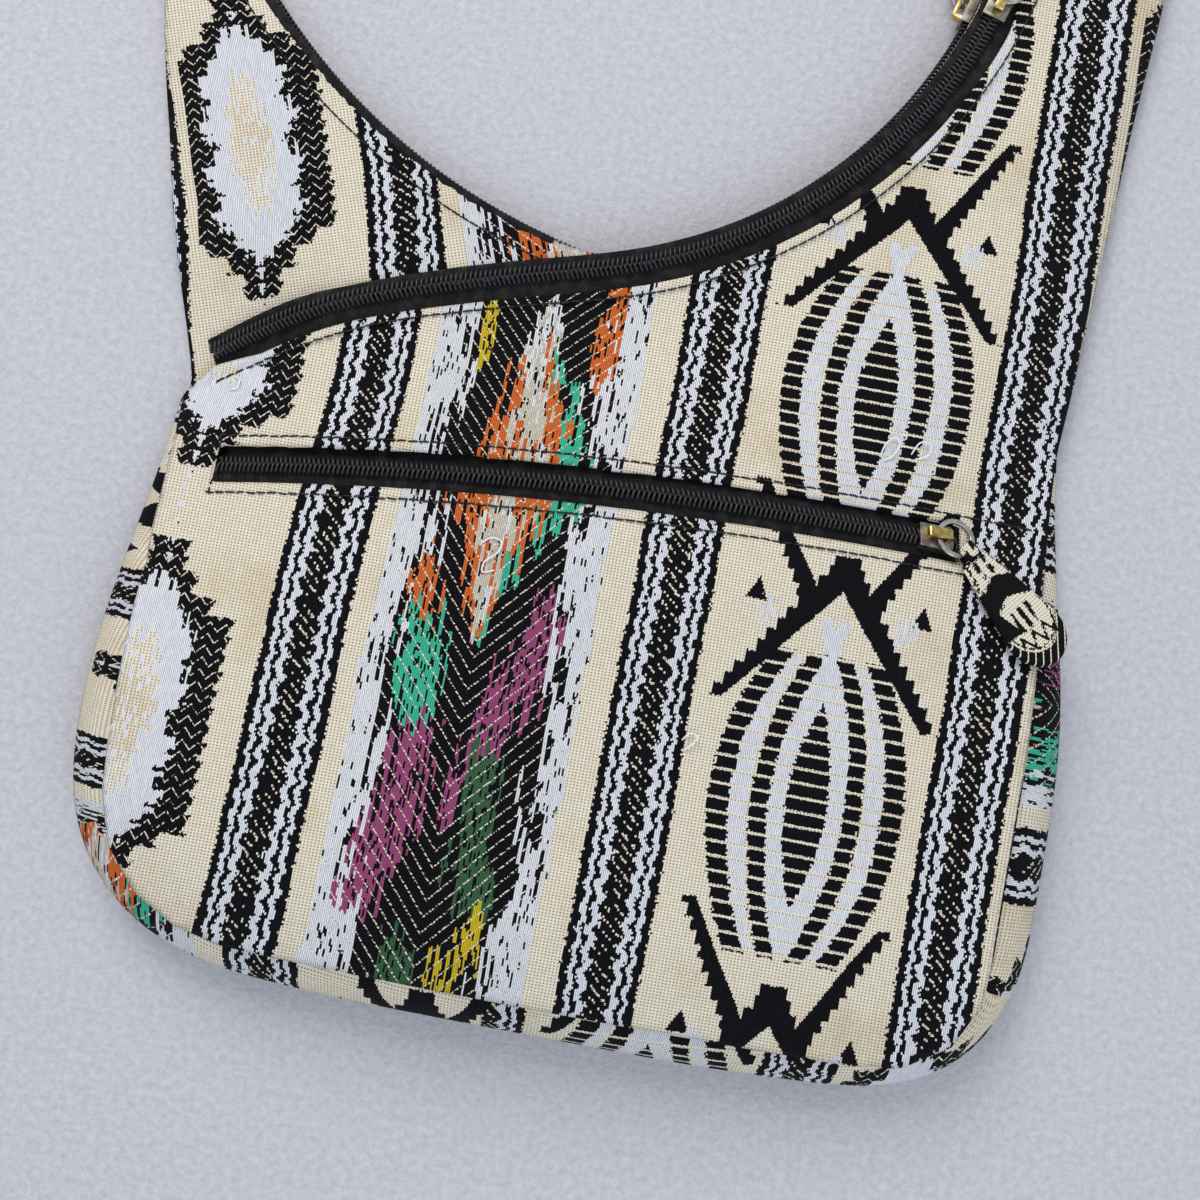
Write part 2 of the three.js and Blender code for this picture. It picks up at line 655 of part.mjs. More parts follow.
function mouthTape(side) {
  const root = side * COIL_INNER;
  const bend = side * SLIDER_RUN;
  const edge = bend + side * TAPE;
  const reach = SLIDER_RUN - TAPE_WIDTH;
  return points2([root, 0], [edge, 0], [edge, reach], [bend, reach], [bend, -TAPE], [root, -TAPE]);
}

addZip('mouth', ['front', 'back'], mouthFrames, [mouthTape(1), mouthTape(-1)]);

// Slider, in its own frame: x along the run towards its front, y across, z out of the chain
function sliderBody() {
  const half = SLIDER_LENGTH / 2;
  const outline = new THREE.Shape();
  outline.moveTo(-half, -SLIDER_TAIL / 2);
  outline.lineTo(0, -SLIDER_TAIL / 2);
  outline.quadraticCurveTo(half * 0.3, -SLIDER_WIDTH / 2, half * 0.7, -SLIDER_WIDTH / 2);
  outline.quadraticCurveTo(half, -SLIDER_WIDTH / 2, half, -SLIDER_WIDTH / 3);
  outline.lineTo(half, SLIDER_WIDTH / 3);
  outline.quadraticCurveTo(half, SLIDER_WIDTH / 2, half * 0.7, SLIDER_WIDTH / 2);
  outline.quadraticCurveTo(half * 0.3, SLIDER_WIDTH / 2, 0, SLIDER_TAIL / 2);
  outline.lineTo(-half, SLIDER_TAIL / 2);
  outline.closePath();
  const points = outline.getPoints(3).slice(0, -1);
  const channel = (COIL_OUTER + SLIDER_TAIL / 2) / 2;
  const channelBox = new THREE.BoxGeometry(SLIDER_LENGTH + PLATE, 2 * channel, TOP_PLATE * 2);
  const shell = toSolid(prism(points, RUN_GAP, TOP_PLATE + PLATE)).subtract(toSolid(channelBox));
  const sole = toSolid(prism(points, -TAPE - RUN_GAP - PLATE, -TAPE - RUN_GAP));
  const postHeight = TOP_PLATE + PLATE + TAPE + RUN_GAP;
  const post = new THREE.BoxGeometry(2 * PLATE, POST, postHeight)
    .translate(half - 2 * PLATE, 0, postHeight / 2 - TAPE - RUN_GAP - PLATE / 2);
  return shell.add(sole).add(toSolid(post)).add(toSolid(sliderCrown()));
}

function sliderCrown() {
  const foot = TOP_PLATE + PLATE / 2;
  const roof = TOP_PLATE + PLATE + TUNNEL_HEIGHT + CROWN_BAR;
  const half = CROWN_LENGTH / 2;
  const leg = CROWN_BAR * 1.2;
  const arch = new THREE.Shape();
  arch.moveTo(-half, foot);
  arch.lineTo(-half, roof - CROWN_BAR);
  arch.quadraticCurveTo(-half, roof, -half + leg, roof);
  arch.lineTo(half - leg, roof);
  arch.quadraticCurveTo(half, roof, half, roof - CROWN_BAR);
  arch.lineTo(half, foot);
  arch.lineTo(half - leg, foot);
  arch.lineTo(half - leg, roof - CROWN_BAR);
  arch.lineTo(-half + leg, roof - CROWN_BAR);
  arch.lineTo(-half + leg, foot);
  arch.closePath();
  const options = { depth: CROWN_WIDTH, bevelEnabled: false, curveSegments: 3 };
  return new THREE.ExtrudeGeometry(arch, options)
    .translate(0, 0, -CROWN_WIDTH / 2)
    .rotateX(Math.PI / 2);
}

// Ring, in the pull's frame: x away from the crown, z out of the ring's plane
function pullRing() {
  const half = RING_BAND / 2;
  const profile = points2(
    [RING_RADIUS - half, -RING_THICK / 2], [RING_RADIUS + half, -RING_THICK / 2],
    [RING_RADIUS + half, RING_THICK / 2], [RING_RADIUS - half, RING_THICK / 2],
    [RING_RADIUS - half, -RING_THICK / 2],
  );
  return new THREE.LatheGeometry(profile, 28).rotateX(Math.PI / 2).translate(RING_RADIUS, 0, 0);
}

// Cloth pull: a stuffed teardrop on an eye that wraps the ring
function clothPull(yaw) {
  const sag = RING_RADIUS - Math.sqrt(RING_RADIUS ** 2 - (EYE_WIDTH / 2) ** 2);
  const near = -RING_BAND / 2 - sag - EYE_PLAY;
  const far = RING_BAND / 2 + EYE_PLAY;
  const rise = RING_THICK / 2 + EYE_PLAY;
  const neck = far + EYE_CLOTH;
  const eye = prism(
    points2(
      [near - EYE_CLOTH, -rise - EYE_CLOTH], [neck + EYE_CLOTH, -rise - EYE_CLOTH],
      [neck + EYE_CLOTH, rise + EYE_CLOTH], [near - EYE_CLOTH, rise + EYE_CLOTH],
    ),
    -EYE_WIDTH / 2,
    EYE_WIDTH / 2,
    [points2([near, -rise], [near, rise], [far, rise], [far, -rise])],
  ).rotateX(Math.PI / 2);
  const bulb = neck + PULL_LENGTH - PULL_BULB;
  const flare = Math.PI / 2 + Math.asin((PULL_BULB - PULL_NECK) / (bulb - neck));
  const tear = new THREE.Shape();
  tear.moveTo(neck, PULL_NECK);
  tear.lineTo(neck, -PULL_NECK);
  tear.absarc(bulb, 0, PULL_BULB, -flare, flare, false);
  tear.closePath();
  const edge = PULL_THICK / 4;
  const options = {
    depth: PULL_THICK - 2 * edge,
    bevelThickness: edge,
    bevelSize: edge,
    bevelOffset: -edge,
    bevelSegments: 1,
    curveSegments: 11,
  };
  const pad = new THREE.ExtrudeGeometry(tear, options).translate(0, 0, -PULL_THICK / 2 + edge);
  const joined = toGeometry(toSolid(eye).add(toSolid(pad)));
  return joined.translate(RING_RADIUS, 0, 0).rotateZ(degToRad(yaw)).translate(RING_RADIUS, 0, 0);
}

// A slider on its frame, facing along the run, with its ring and cloth pull
function addSlider(name, frame, yaw, swing) {
  const slider = new THREE.Group();
  const across = frame.rise.clone().cross(frame.along);
  const basis = new THREE.Matrix4().makeBasis(frame.along, across, frame.rise);
  slider.quaternion.setFromRotationMatrix(basis);
  slider.position.copy(frame.origin);
  group.add(slider);
  add(`${name}_slider`, toGeometry(sliderBody()), SLIDER_LOOK, slider);
  const pull = new THREE.Group();
  pull.position.set(0, 0, TUNNEL_AXIS);
  pull.rotation.y = -degToRad(swing);
  slider.add(pull);
  add(`${name}_ring`, pullRing(), RING_LOOK, pull);
  add(`${name}_pull`, clothPull(yaw), WOVEN, pull);
}

function arcFrame(setback, height, rise) {
  const radius = RIGHT_V_RADIUS + setback;
  const back = SLIDER_INSET / radius;
  const angle = degToRad(RIGHT_V_ANGLES[1]) - back;
  const out = new THREE.Vector3(Math.cos(angle), Math.sin(angle), 0);
  const origin = new THREE.Vector3(RIGHT_V_CENTRE.x, RIGHT_V_CENTRE.y, height).addScaledVector(out, radius);
  return { origin, along: up.clone().cross(out), rise: rise ?? out.negate() };
}

addSlider('pocket', pocketFrame(SLIDER_INSET / pocketArc.radius), POCKET_PULL_YAW, 0);
addSlider('crossover', arcFrame(CROSSOVER_SETBACK, MOUTH_FRONT - TAPE_DEPTH, up), CROSSOVER_PULL_YAW, 0);
addSlider('mouth', arcFrame(MOUTH_SETBACK, MOUTH_CHAIN), MOUTH_PULL_YAW, MOUTH_PULL_SWING);

export default group;
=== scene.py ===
# %% [markdown]
# A soft shoulder bag of jacquard cotton lies on its back on a pale floor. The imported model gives
# the size and place of every piece. This lesson dresses it: cloth panels with folds and hems, a
# woven pattern made of shader maths, coil zips tooth by tooth, and worn sliders with cloth pulls.

# %% Frame and units
import math

import bmesh
import bpy
import numpy as np
from mathutils import Matrix, Vector, noise
from mathutils.bvhtree import BVHTree
from mathutils.geometry import delaunay_2d_cdt
from mathutils.kdtree import KDTree


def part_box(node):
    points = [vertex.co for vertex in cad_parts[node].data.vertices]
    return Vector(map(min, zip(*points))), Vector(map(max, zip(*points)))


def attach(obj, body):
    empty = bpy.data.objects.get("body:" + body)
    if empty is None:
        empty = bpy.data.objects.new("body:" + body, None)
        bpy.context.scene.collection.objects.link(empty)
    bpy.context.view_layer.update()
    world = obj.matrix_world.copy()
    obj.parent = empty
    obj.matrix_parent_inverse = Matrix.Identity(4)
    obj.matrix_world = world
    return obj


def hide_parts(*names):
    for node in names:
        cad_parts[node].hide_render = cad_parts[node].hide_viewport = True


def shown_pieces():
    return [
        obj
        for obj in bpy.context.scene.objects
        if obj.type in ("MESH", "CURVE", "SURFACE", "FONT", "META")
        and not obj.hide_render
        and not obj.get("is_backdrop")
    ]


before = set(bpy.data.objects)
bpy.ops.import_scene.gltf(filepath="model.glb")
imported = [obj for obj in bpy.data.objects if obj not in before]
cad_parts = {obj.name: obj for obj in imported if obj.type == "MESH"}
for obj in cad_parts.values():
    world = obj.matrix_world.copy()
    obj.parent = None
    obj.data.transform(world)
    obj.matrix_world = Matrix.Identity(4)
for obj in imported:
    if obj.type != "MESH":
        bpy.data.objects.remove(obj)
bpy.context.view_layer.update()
MM = 0.001
DOWN = (0.0, 0.0, -1.0)
ABOVE = 200.0


def placed(name, data):
    """A new object in the scene."""
    made = bpy.data.objects.new(name, data)
    bpy.context.scene.collection.objects.link(made)
    return made


def dress(piece, body, node):
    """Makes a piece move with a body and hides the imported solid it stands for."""
    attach(piece, body)
    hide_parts(node)



# %% [markdown]
# The camera comes first, because the cloth's pattern is laid out as the eye sees it: the print of
# a loom is flat, so each point of the cloth is carried along the line of sight to one flat sheet.
# All places are in millimetres until a mesh is made.

# %% Camera
EYE_DISTANCE = 439.0
EYE_TILT = math.radians(5.0)
EYE_ROLL = math.radians(10.8)
EYE_TARGET = np.array([12.0, 0.0, 42.0])
LENS = 43.5

look = np.array([0.0, math.sin(EYE_TILT), -math.cos(EYE_TILT)])
level = np.array([1.0, 0.0, 0.0])
steep = np.array([0.0, math.cos(EYE_TILT), math.sin(EYE_TILT)])
right = math.cos(EYE_ROLL) * level + math.sin(EYE_ROLL) * steep
upright = math.cos(EYE_ROLL) * steep - math.sin(EYE_ROLL) * level
eye = EYE_TARGET - EYE_DISTANCE * look

camera = placed("camera", bpy.data.cameras.new("camera"))
camera.data.lens = LENS
camera.data.sensor_width = 36.0
camera.data.clip_start = 0.01
turn = Matrix([right, upright, -look]).transposed().to_4x4()
camera.matrix_world = Matrix.Translation(Vector(eye) * MM) @ turn
bpy.context.scene.camera = camera
bpy.context.scene.view_settings.view_transform = "Standard"
print("eye at", np.round(eye, 1))


# %% [markdown]
# Shader maths reads best as plain expressions. A small class wraps a socket, and each operator
# adds a Math node. Numbers stay numbers until they meet a socket.

# %% Shader maths
class Value:
    def __init__(self, shader, socket):
        self.shader = shader
        self.socket = socket

    def math(self, operation, *others):
        return self.shader.math(operation, self, *others)

    def __add__(self, other):
        return self.math("ADD", other)

    def __sub__(self, other):
        return self.math("SUBTRACT", other)

    def __rsub__(self, other):
        return self.shader.math("SUBTRACT", other, self)

    def __mul__(self, other):
        return self.math("MULTIPLY", other)

    def __truediv__(self, other):
        return self.math("DIVIDE", other)

    def __lt__(self, other):
        return self.math("LESS_THAN", other)

    def __gt__(self, other):
        return self.math("GREATER_THAN", other)

    def __abs__(self):
        return self.math("ABSOLUTE")

    def sin(self):
        return self.math("SINE")

    def floor(self):
        return self.math("FLOOR")

    def least(self, other):
        return self.math("MINIMUM", other)

    def most(self, other):
        return self.math("MAXIMUM", other)

    def fold(self, length):
        return self.math("PINGPONG", length)

    def wrap(self, high, low):
        return self.math("WRAP", high, low)

    def snap(self, step):
        return self.math("SNAP", step)

    def between(self, low, high):
        return (self > low) * (self < high)

    def clamp(self):
        return self.most(0.0).least(1.0)

    def waves(self, pitch):
        return abs((self * (math.pi / pitch)).sin())

    def sister(self, index):
        return Value(self.shader, self.socket.node.outputs[index])


class Shader:
    def __init__(self, name):
        self.material = bpy.data.materials.new(name)
        self.material.use_nodes = True
        self.tree = self.material.node_tree
        self.surface = self.tree.nodes["Principled BSDF"]

    def node(self, kind, settings=None, links=None, output=0):
        made = self.tree.nodes.new(kind)
        for key, value in (settings or {}).items():
            if key == "stops":
                self.stops(made.color_ramp.elements, value)
            elif key == "mode":
                made.color_ramp.interpolation = value
            else:
                setattr(made, key, value)
        for key, value in (links or {}).items():
            self.feed(made.inputs[key], value)
        return Value(self, made.outputs[output])

    def stops(self, elements, marks):
        while len(elements) < len(marks):
            elements.new(0.5)
        for element, (place, colour) in zip(elements, marks):
            element.position = place
            element.color = colour

    def feed(self, socket, value):
        if isinstance(value, Value):
            self.tree.links.new(value.socket, socket)
        else:
            socket.default_value = value

    def math(self, operation, *values):
        return self.node("ShaderNodeMath", {"operation": operation}, dict(enumerate(values)))

    def blend(self, factor, first, second):
        return self.node("ShaderNodeMix", {"data_type": "RGBA"}, {0: factor, 6: first, 7: second}, 2)

    def bump(self, height, strength, distance):
        return self.node("ShaderNodeBump", {}, {"Height": height, "Strength": strength, "Distance": distance})

    def grain(self, place, scale, settings=None, **more):
        return self.node("ShaderNodeTexNoise", settings, {"Vector": place, "Scale": scale, **more})

    def ramp(self, factor, stops, mode="LINEAR"):
        return self.node("ShaderNodeValToRGB", {"stops": stops, "mode": mode}, {"Fac": factor})

    def pair(self, kind, socket, value):
        first = self.node(kind, {}, {socket: value})
        return first, first.sister(1)

    def axes(self, place):
        return self.pair("ShaderNodeSeparateXYZ", "Vector", place)

    def channels(self, colour):
        return self.pair("ShaderNodeSeparateColor", "Color", colour)

    def object_place(self):
        return self.node("ShaderNodeTexCoord", output=3)

    def cloth_place(self):
        return self.node("ShaderNodeUVMap", {"uv_map": "cloth"})

    def set(self, links):
        for key, value in links.items():
            self.feed(self.surface.inputs[key], value)
        return self.material


def paint(red, green, blue):
    """A colour as it is read off a screen, made linear."""
    return tuple((c / 255) ** 2.2 for c in (red, green, blue)) + (1.0,)


CREAM = paint(220, 212, 193)
BLACK = paint(8, 8, 10)
WHITE = paint(243, 245, 252)
ORANGE = paint(229, 113, 48)
TEAL = paint(70, 198, 160)
PLUM = paint(166, 80, 126)
GREEN = paint(62, 104, 72)
YELLOW = paint(224, 194, 36)
TAN = paint(196, 176, 140)
# Painted shade for the pinholes between the threads of the open weave.
PINHOLE_SHADE = paint(84, 70, 52)
# Painted shade between the strands of the yarn floats.
SHADE = paint(40, 40, 48)
print("thread colours:", len([CREAM, BLACK, WHITE, ORANGE, TEAL, PLUM, GREEN, YELLOW]))


# %% [markdown]
# One cloth pattern covers the whole bag. Across the loom it has six columns: a diamond, a striped
# band, an ikat column with flames, a second band, a column of eyes and crosses, and a third band.
# Places are in millimetres, and each is snapped to a strand and to a row that starts at random on
# that strand, so that every edge of the pattern ends in single threads.

# %% Places in the cloth
STRAND = 0.55
ROW = 0.7
DASH = 2.3
TUFT = 1.1
SPIKE = 11.0
LOOM_RIGHT = 147.0
LOOM_ACROSS = 284.0
LOOM_ALONG = 131.0
HALF_ALONG = LOOM_ALONG / 2
FLAT_PART = 20.0
UPPER_STRETCH = 0.11
RANDOM = "ShaderNodeTexWhiteNoise"
PLANE = {"noise_dimensions": "2D"}
LINE = {"noise_dimensions": "1D"}


def chance(shader, column, row):
    """A random value from -0.5 to 0.5 for each cell of a grid."""
    cell = shader.node("ShaderNodeCombineXYZ", {}, {"X": column, "Y": row})
    return shader.node(RANDOM, PLANE, {"Vector": cell}) - 0.5


def thread_field(shader):
    """The place in the cloth, as it is and snapped to its threads, with the random values there."""
    place = shader.cloth_place()
    x, y = shader.axes(place)
    drift = shader.grain(place, 0.02, PLANE)
    lean = ((y - 10.0) * 0.1).least(4.0).most((y - 10.0) * 0.025)
    left = ((-40.0 - x) / 30.0).clamp()
    across = (x + (drift - 0.5) * 2.4 - left * lean).wrap(LOOM_RIGHT, LOOM_RIGHT - LOOM_ACROSS)
    along = y + (y - FLAT_PART).most(0.0) * UPPER_STRETCH
    strand = (across / STRAND).floor()
    start = shader.node(RANDOM, LINE, {"W": strand}) * (2.0 * ROW)
    row = ((along + start) / ROW).floor()
    lump = (across / TUFT).floor()
    tuft = shader.node(RANDOM, LINE, {"W": lump + 0.37})
    return {
        "place": place, "x": x, "y": y, "across": across, "along": along, "strand": strand, "row": row,
        "X": (strand + 0.5) * STRAND, "Y": row * ROW - start, "tuft": tuft - 0.5,
        "speck": chance(shader, strand, row),
        "dash": chance(shader, strand + 0.5, ((along + start * 5.0) / DASH).floor()),
        "spike": chance(shader, lump, ((along + tuft * 90.0) / SPIKE).floor()),
    }


# %% [markdown]
# Each column gives masks of black, white and cream thread.

# %% Bands, eyes and diamonds
BAND_CENTRES = (-72.5, 33.0, 131.5)
BAND_HALF = 12.0
WAVE = 6.6
EYE_CENTRE = 84.0
EYE_MIDDLE = 50.0
CROSS_MIDDLE = 20.0
EYE_HALF = 36.0
EYE_HEIGHT = 46.0
CORE_HEIGHT = 31.0
BAR = 2.15
DIAMOND_CENTRE = -118.0
DIAMOND_MIDDLE = 60.0
DIAMOND_BLACK = ((0, 23.5), (33, 16.5), (38, 10), (45, 5.5), (54, 0))
DIAMOND_WHITE = ((0, 10), (8, 15.5), (17, 11.5), (23, 14.5), (32, 8.5), (39, 4.5), (42, 0))
TALLEST = 70.0
WIDEST = 40.0


def bands(f):
    """Black bands with two pairs of wavy white lines and a specked middle."""
    first, second, third = [abs(f["X"] - centre) for centre in BAND_CENTRES]
    off = first.least(second).least(third)
    wave = (f["Y"] * (2 * math.pi / WAVE)).sin()
    outer = abs(off - 8.6 - wave * 0.5) < (f["speck"] * 0.8 + 0.8)
    inner = abs(off - 5.1 - wave * 0.75) < (f["speck"] * 1.1 + 1.15)
    twill = (f["X"] * 0.9 + f["Y"]).wrap(3.3, 0.0) < 0.8
    specks = (off < 3.3) * twill * (f["speck"] > 0.02)
    black = off < (f["speck"] * 0.9 + BAND_HALF)
    return black, black * outer.most(inner), black * specks


def eyes(f):
    """The column of eyes made of ladders, and the crosses between them."""
    off = abs(f["X"] - EYE_CENTRE)
    high = (f["Y"] + EYE_MIDDLE).wrap(HALF_ALONG, -HALF_ALONG)
    squared = high * high
    shut = abs(high) < EYE_HEIGHT
    wide = 26.4 - squared * (12.5 / EYE_HEIGHT ** 2)
    slim = 14.2 - squared * (10.0 / EYE_HEIGHT ** 2)
    bars = (f["along"] + f["speck"] * 0.3).fold(BAR) > 0.42
    ladders = (abs(off - wide) < (f["speck"] + 3.1)).most(abs(off - slim) < (f["speck"] + 2.7)) * shut
    core = off < (6.4 - squared * (6.4 / CORE_HEIGHT ** 2) + f["speck"])
    satin = ((off < wide - 3.1) * (off > slim + 3.4)).most((off < slim - 2.7) * (1.0 - core)) * shut
    satin = satin * (abs(high) < EYE_HEIGHT - 2.0)
    rise = (f["Y"] - CROSS_MIDDLE).wrap(HALF_ALONG, -HALF_ALONG)
    step = rise.snap(3.8)
    low_arm = (off + rise * 0.8 > -3.4) * (off + step * 0.67 < 5.4) * rise.between(-42.0, 4.0)
    high_arm = (off - rise * 0.6 > 10.4) * (off - step * 0.6 < 18.0 - rise * 0.08) * rise.between(-8.0, 29.0)
    cap = (off < 4.0) * rise.between(0.0, 7.5)
    spur = (abs(off - 25.5) < (rise + 4.0) * -0.5) * (rise > -11.0)
    black = (ladders.most(core * shut) * bars).most(low_arm).most(high_arm).most(spur).most(cap)
    kiss = (abs(off - abs(rise + 22.0) * 0.34) < (f["dash"] + 1.9)) * rise.between(-32.0, -13.0)
    fleck = (abs(off - 21.0) < 3.2) * rise.between(-17.0, -9.0) * (f["dash"] > -0.1)
    column = off < EYE_HALF
    return column * black, column * (satin * bars).most(kiss).most(fleck) * (1.0 - ladders)


def profile(shader, high, stops, mode):
    """A half width by height from the middle, read from a ramp."""
    marks = [(y / TALLEST, (half / WIDEST, 0.0, 0.0, 1.0)) for y, half in stops]
    return shader.channels(shader.ramp(high / TALLEST, marks, mode))[0] * WIDEST


def diamonds(shader, f):
    """Stepped diamonds: a black border, a jagged white filling and a cream middle."""
    off = abs(f["X"] - DIAMOND_CENTRE)
    high = abs((f["Y"] + DIAMOND_MIDDLE).wrap(HALF_ALONG, -HALF_ALONG))
    ragged = f["Y"] + f["tuft"] * 5.0
    spiked = abs((ragged + DIAMOND_MIDDLE).wrap(HALF_ALONG, -HALF_ALONG))
    saw = f["Y"].wrap(5.4, 0.0) * 0.5 - 1.3
    inside = off < profile(shader, high, DIAMOND_BLACK, "CONSTANT") + saw * 0.8
    white = off < profile(shader, spiked, DIAMOND_WHITE, "LINEAR") + saw * 1.1 + f["spike"] * 1.6
    middle = 5.2 - spiked * 0.15 + ragged.wrap(7.0, 0.0) * 0.4 + f["spike"] * 3.0
    cream = (off < middle) * (spiked < 24.0) * (f["dash"] > -0.3)
    zigzag = (f["across"].fold(2.4) * 1.1 + f["along"]).wrap(3.6, 0.0) < 0.55
    dots = zigzag * (f["speck"] > -0.1) * (1.0 - white)
    return inside, inside * white, inside * (white * cream).most(dots)


# %% [markdown]
# The ikat column is a black ground with dotted chevrons, ragged white edges, and flames. A flame is
# a table of height, line, half width and dye. Its rows are moved at random on each tuft of thread,
# and its width changes at random along the tuft, which gives the long ragged points of dyed yarn.

# %% Ikat column
IKAT_CENTRE = -21.0
IKAT_HALF = 33.0
RAMP_SPAN = 260.0
LINE_LEFT = -60.0
LINE_SPAN = 80.0
HALF_SPAN = 20.0
EDGE = (
    (100, 29), (90, 23), (60, 19), (46, 25), (36, 27), (24, 22), (0, 22), (-16, 24), (-26, 28), (-40, 26),
    (-60, 23), (-80, 27), (-88, 27), (-98, 20), (-125, 19),
)
FLAMES = (
    (
        (92, -37, 0, YELLOW), (84, -37.5, 1.6, YELLOW), (68, -38, 1.2, YELLOW), (60, -38, 0, ORANGE),
        (6, -40, 0, ORANGE), (0, -40.5, 3.4, ORANGE), (-14, -40, 3.6, TEAL), (-20, -38.5, 5.6, TEAL),
        (-46, -36.5, 4.4, PLUM), (-50, -34, 5, PLUM), (-75, -36.8, 6.2, PLUM), (-100, -43, 5.4, PLUM),
        (-106, -42, 0, GREEN), (-110, -29, 0, GREEN), (-113, -29, 4, GREEN), (-125, -28, 4.5, GREEN),
    ),
    (
        (104, 1, 0, ORANGE), (97, 1, 3.6, ORANGE), (74, -1, 3.4, ORANGE), (66, -1, 0, PLUM), (5, -2, 0, PLUM),
        (-3, -2.5, 3.4, PLUM), (-12, -3, 5.2, PLUM), (-35, -9, 5.8, PLUM), (-56, -16, 5, PLUM),
        (-70, -21.5, 3.6, PLUM), (-77, -22, 0, PLUM),
    ),
    (
        (-46, -12, 0, GREEN), (-52, -13, 4.2, GREEN), (-90, -11, 5.6, GREEN), (-98, -7, 3.6, YELLOW),
        (-113, -7, 2.8, YELLOW), (-116, -15, 2.6, YELLOW), (-125, -15, 3, YELLOW),
    ),
)
BLAZE = (
    (91, -19, 0), (84, -19, 2.5), (70, -19, 6), (60, -18.5, 9), (50, -17, 12.5), (40, -15.5, 15),
    (30, -18, 15), (22, -21, 14), (12, -21, 9.5), (0, -22.5, 6), (-15, -23, 2.6), (-21, -23, 0),
)


def loom(y):
    """Where a height seen on the front falls on the ramps."""
    return (y + UPPER_STRETCH * max(y - FLAT_PART, 0.0)) / RAMP_SPAN + 0.5


def path_of(shader, share, stops):
    """A line and a half width by height, read from a ramp."""
    marks = [
        (loom(y), ((x - LINE_LEFT) / LINE_SPAN, half / HALF_SPAN, 0.0, 1.0)) for y, x, half in sorted(stops)
    ]
    line, half = shader.channels(shader.ramp(share, marks))
    return line * LINE_SPAN + LINE_LEFT, half * HALF_SPAN


def flames(shader, f):
    """Masks and dyes of the streams and of the blaze in the middle."""
    share = (f["Y"] + f["tuft"] * 13.0) / RAMP_SPAN + 0.5
    made = []
    for stops in FLAMES:
        line, half = path_of(shader, share, [stop[:3] for stop in stops])
        mask = (abs(f["X"] - line) < half * (f["spike"] * 1.3 + 1.1)) * (f["dash"] > -0.26)
        rising = sorted(stops, key=lambda stop: stop[0])
        dyes = [(loom(low[0]), high[3]) for low, high in zip(rising, rising[1:])]
        made.append((mask, shader.ramp(share, dyes, "CONSTANT")))
    line, half = path_of(shader, share, BLAZE)
    side = (f["X"] - line) / (half.most(0.1) * 2.0) + 0.5 + f["spike"] * 0.42
    dyes = [(0.0, ORANGE), (0.22, CREAM), (0.38, WHITE), (0.46, CREAM), (0.66, ORANGE), (0.9, TEAL)]
    fire = shader.ramp(side, dyes, "CONSTANT")
    tip = share > (f["spike"] * 0.07 + loom(66))
    bright = shader.blend(f["dash"] > 0.1, WHITE, CREAM)
    flare = abs(f["X"] - line) < half * (f["spike"] * 0.9 + 1.05)
    made.append((flare * (f["dash"] > -0.4), shader.blend(tip, fire, bright)))
    return made


def ikat(shader, f):
    """The ground of the ikat column, its white edges and its dotted chevrons."""
    off = abs(f["X"] - IKAT_CENTRE)
    inside = off < (f["tuft"] * 2.0 + f["spike"] * 2.0 + IKAT_HALF)
    marks = [(loom(y), (half / WIDEST, 0.0, 0.0, 1.0)) for y, half in sorted(EDGE)]
    share = (f["Y"] + f["tuft"] * 16.0) / RAMP_SPAN + 0.5
    edge = shader.channels(shader.ramp(share, marks))[0] * WIDEST
    chevron = (f["along"] - abs(f["across"] + 22.0) * 1.15).wrap(4.9, 0.0) < 0.72
    dots = chevron * (f["row"].wrap(2.0, 0.0) < 0.5)
    bleached = (off > edge + f["spike"] * 12.0) * (f["dash"] > -0.41)
    return inside, inside * bleached, inside * dots


# %% [markdown]
# The cloth itself: plain open weave with painted shade in its pinholes where it is cream, and long
# floats of yarn with painted shade between their strands where it is patterned. Two bumps, one for
# each, are mixed by the pattern.

# %% Woven cloth
WARP_PITCH = 1.05
WEFT_PITCH = 0.92
FLOAT_LENGTH = 2.6
YARN_RELIEF = 0.0004


